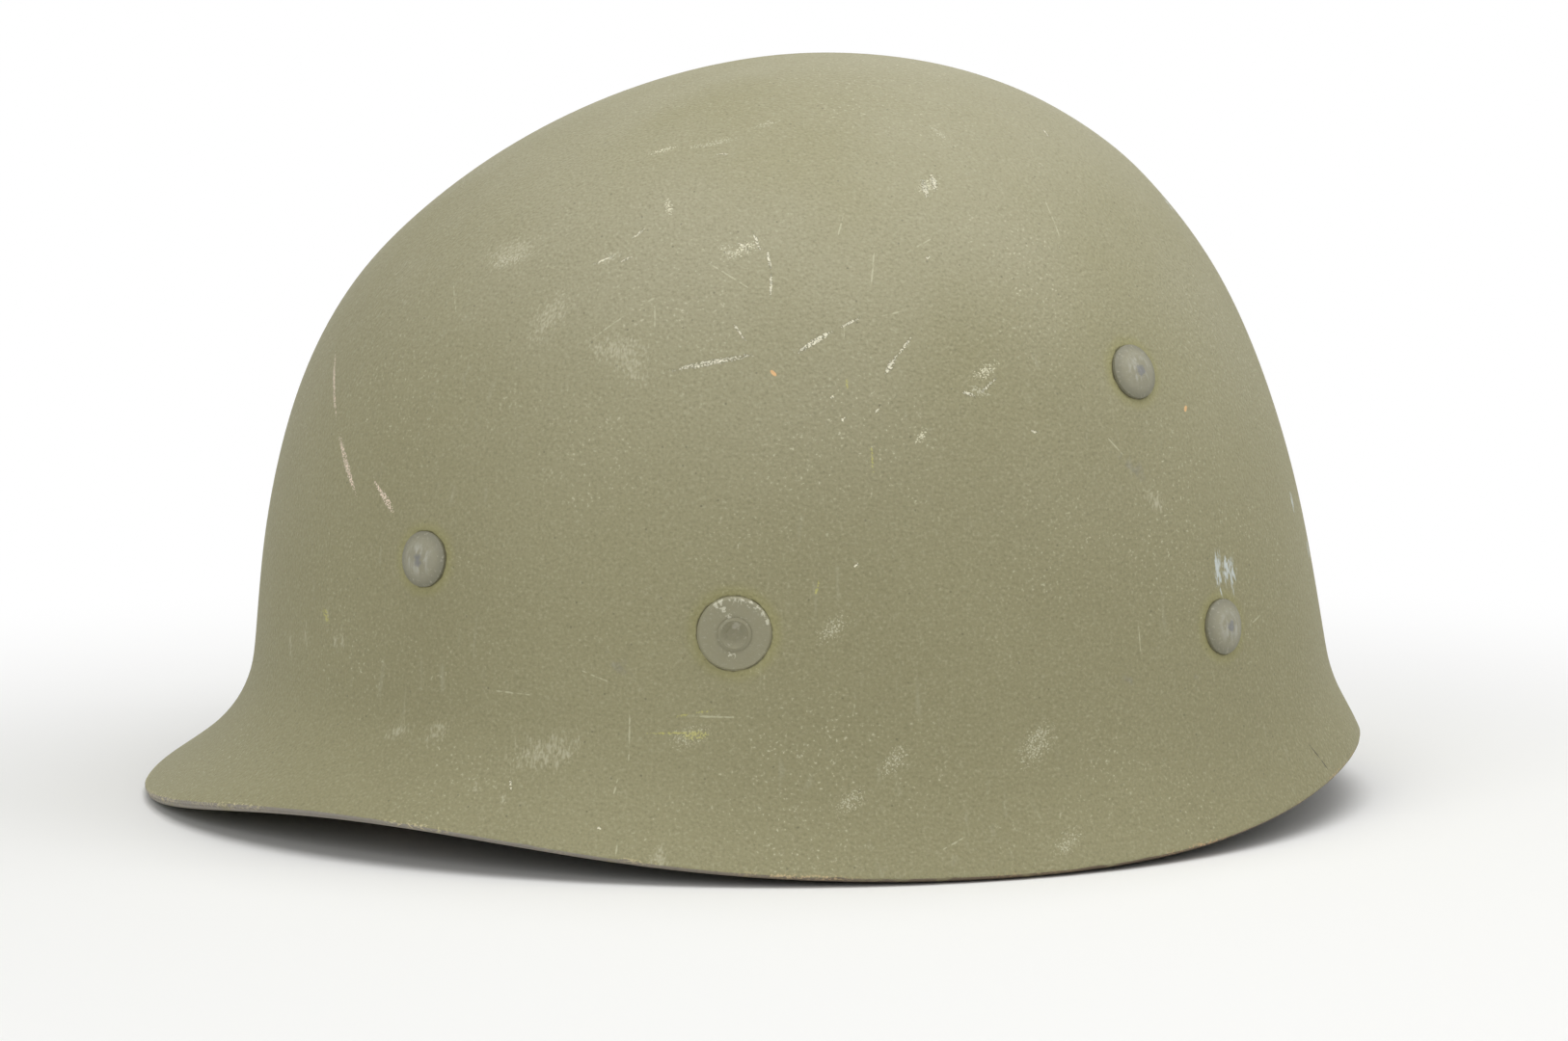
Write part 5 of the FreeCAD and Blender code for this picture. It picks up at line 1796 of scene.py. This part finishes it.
@dataclass
class Sweatband:
    """Leather sweatband with its seams, spring clips and rear keeper."""

    hide: Leather = Leather("sweat_leather", (0.235, 0.128, 0.062), (0.120, 0.058, 0.028), (0.36, 0.24, 0.14))
    keeper: Leather = Leather("keeper_leather", (0.215, 0.118, 0.058), (0.110, 0.055, 0.028),
                              (0.34, 0.23, 0.14))
    clips: BareMetal = BareMetal("clip_steel", (0.33, 0.33, 0.31), (0.12, 0.105, 0.08), 0.38)
    thread: Thread = Thread("sweatband_thread", (0.40, 0.33, 0.20), (0.17, 0.12, 0.07))
    steps: int = 360
    inset: float = 2.2 * MM

    def build(self) -> list[str]:
        """Makes the band and its seams, and dresses the clips and the keeper.

        Returns:
            The pieces' names.
        """
        band = Tape.ring("sweatband", self.steps, 2)
        draft = Draft()
        band.mesh(draft, Weft.LEATHER)
        hide = draft.piece("sweatband_hide", self.hide.material(), "helmet", "sweat_leather")
        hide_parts("sweatband")
        seams = Seam(self.thread, 2.6 * MM, 0.26 * MM)
        edge = band.half[0][0] - self.inset
        for across in (-edge, edge):
            seams.line(band, (1 * MM, across), (band.length - 1 * MM, across), -1)
        return [hide.name, *seams.piece("sweatband_stitches", "helmet", "sweat_leather"),
                *dress(["spring_clips"], self.clips.material()),
                *dress(["sweatband_keeper"], self.keeper.material())]


@dataclass
class ChinStrap:
    """Leather chin strap tucked inside the shell, with hooks on the studs and a sliding buckle."""

    hide: Leather = Leather("strap_leather", (0.150, 0.082, 0.040), (0.070, 0.036, 0.018), (0.30, 0.19, 0.10),
                            1000.0, 0.46)
    hooks: BareMetal = BareMetal("hook_steel", (0.20, 0.195, 0.165), (0.085, 0.075, 0.055), 0.45, 0.8)
    rivets: BareMetal = BareMetal("brass", (0.50, 0.36, 0.15), (0.20, 0.13, 0.06), 0.36)
    buckle: BareMetal = BareMetal("buckle_steel", (0.22, 0.20, 0.155), (0.09, 0.08, 0.06), 0.42, 0.8)
    thread: Thread = Thread("strap_thread", (0.36, 0.30, 0.18), (0.15, 0.11, 0.06))
    spread: float = 83.5
    steps: int = 260
    inset: float = 1.6 * MM
    seam: tuple[float, float] = (4 * MM, 22 * MM)

    def build(self) -> list[str]:
        """Makes the strap and its seams, and dresses its fittings.

        Returns:
            The pieces' names.
        """
        low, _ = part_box("chin_strap")
        stud = middle_of("stud_left")
        pivot = np.array([stud.x, 0.0, stud.z])
        ahead = unit(np.array([low.x, 0.0, low.z + 8 * MM]) - pivot)
        angles = np.radians(np.linspace(-self.spread, self.spread, self.steps))
        strap = Tape.along("chin_strap", pivot, ahead, ALONG_Y, angles)
        draft = Draft()
        strap.mesh(draft, Weft.LEATHER)
        hide = draft.piece("chin_strap_hide", self.hide.material(), "chin_strap", "strap_leather")
        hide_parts("chin_strap")
        seams = Seam(self.thread, 2.6 * MM, 0.26 * MM)
        near, far = self.seam
        edge = strap.half[0][0] - self.inset
        for start, end in ((near, far), (strap.length - far, strap.length - near)):
            for across in (-edge, edge):
                seams.line(strap, (start, across), (end, across), 1)
        return [hide.name, *seams.piece("chin_strap_stitches", "chin_strap", "strap_leather"),
                *dress(paired("chin_hook"), self.hooks.material()),
                *dress(paired("hook_rivet"), self.rivets.material()),
                *dress(["chin_buckle"], self.buckle.material())]


# Stage

@dataclass(frozen=True)
class Lamp:
    """Square soft lamp that faces a target."""

    name: str
    place: Triple
    target: Triple
    size: float
    power: float

    def build(self) -> None:
        """Makes the lamp."""
        light = bpy.data.lights.new(self.name, "AREA")
        light.shape = "SQUARE"
        light.size = self.size
        light.energy = self.power
        made = placed(self.name, light)
        made.location = self.place
        made.rotation_euler = (Vector(self.target) - Vector(self.place)).to_track_quat("-Z", "Y").to_euler()


@dataclass
class Studio:
    """Pale floor, white surroundings and soft lamps."""

    floor: Triple = (0.90, 0.90, 0.885)
    floor_size: float = 9.0
    white_from: float = 0.19
    white_at: float = 0.44
    surround: float = 0.32
    lamps: tuple[Lamp, ...] = (
        Lamp("top_softbox", (0.15, -0.15, 1.25), (0.02, 0.0, 0.08), 1.3, 11.5),
        Lamp("front_softbox", (-0.9, -1.5, 0.9), (0.0, 0.0, 0.07), 1.1, 8.3),
        Lamp("rear_softbox", (1.3, -0.4, 0.9), (0.0, 0.0, 0.08), 1.0, 4.2),
    )

    def build(self) -> None:
        """Makes the floor, the world and the lamps."""
        self._floor()
        self._world()
        for lamp in self.lamps:
            lamp.build()
        bpy.context.scene.view_settings.view_transform = "Standard"

    def _floor(self) -> None:
        """Makes the floor, which turns into the white background with distance."""
        recipe = Recipe.of("floor")
        paper = recipe.node("BsdfDiffuse", values={"Color": self.floor})
        white = recipe.node("Emission", values={"Color": WHITE, "Strength": 1.0})
        away = recipe.distance(recipe.scaled(recipe.place, (1.0, 1.0, 0.0)), (0.02, -0.12, 0.0))
        seen = recipe.seen() * away.step(self.white_from, self.white_at)
        recipe.end(recipe.node("MixShader", values={0: seen, 1: paper, 2: white}))
        bpy.ops.mesh.primitive_grid_add(x_subdivisions=8, y_subdivisions=8, size=self.floor_size)
        floor = bpy.context.object
        floor.name = "floor"
        floor.data.materials.append(recipe.made)

    def _world(self) -> None:
        """Makes white surroundings that light the helmet softly."""
        world = bpy.data.worlds.new("studio")
        bpy.context.scene.world = world
        recipe = Recipe(world)
        strength = recipe.seen() * (1 - self.surround) + self.surround
        recipe.end(recipe.node("Background", values={"Color": WHITE, "Strength": strength}), "World")


def main() -> None:
    """Builds the view, the stage and every piece of the helmet."""
    logging.basicConfig(level=logging.INFO, format="%(message)s")
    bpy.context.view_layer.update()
    VIEW.build()
    Studio().build()
    rivets = Rivets()
    for assembly in (Shell(rivets), rivets, Suspension(), Sweatband(), ChinStrap()):
        for piece in assembly.build():
            log.info("%s: %s", type(assembly).__name__, piece)


if __name__ == "__main__":
    main()
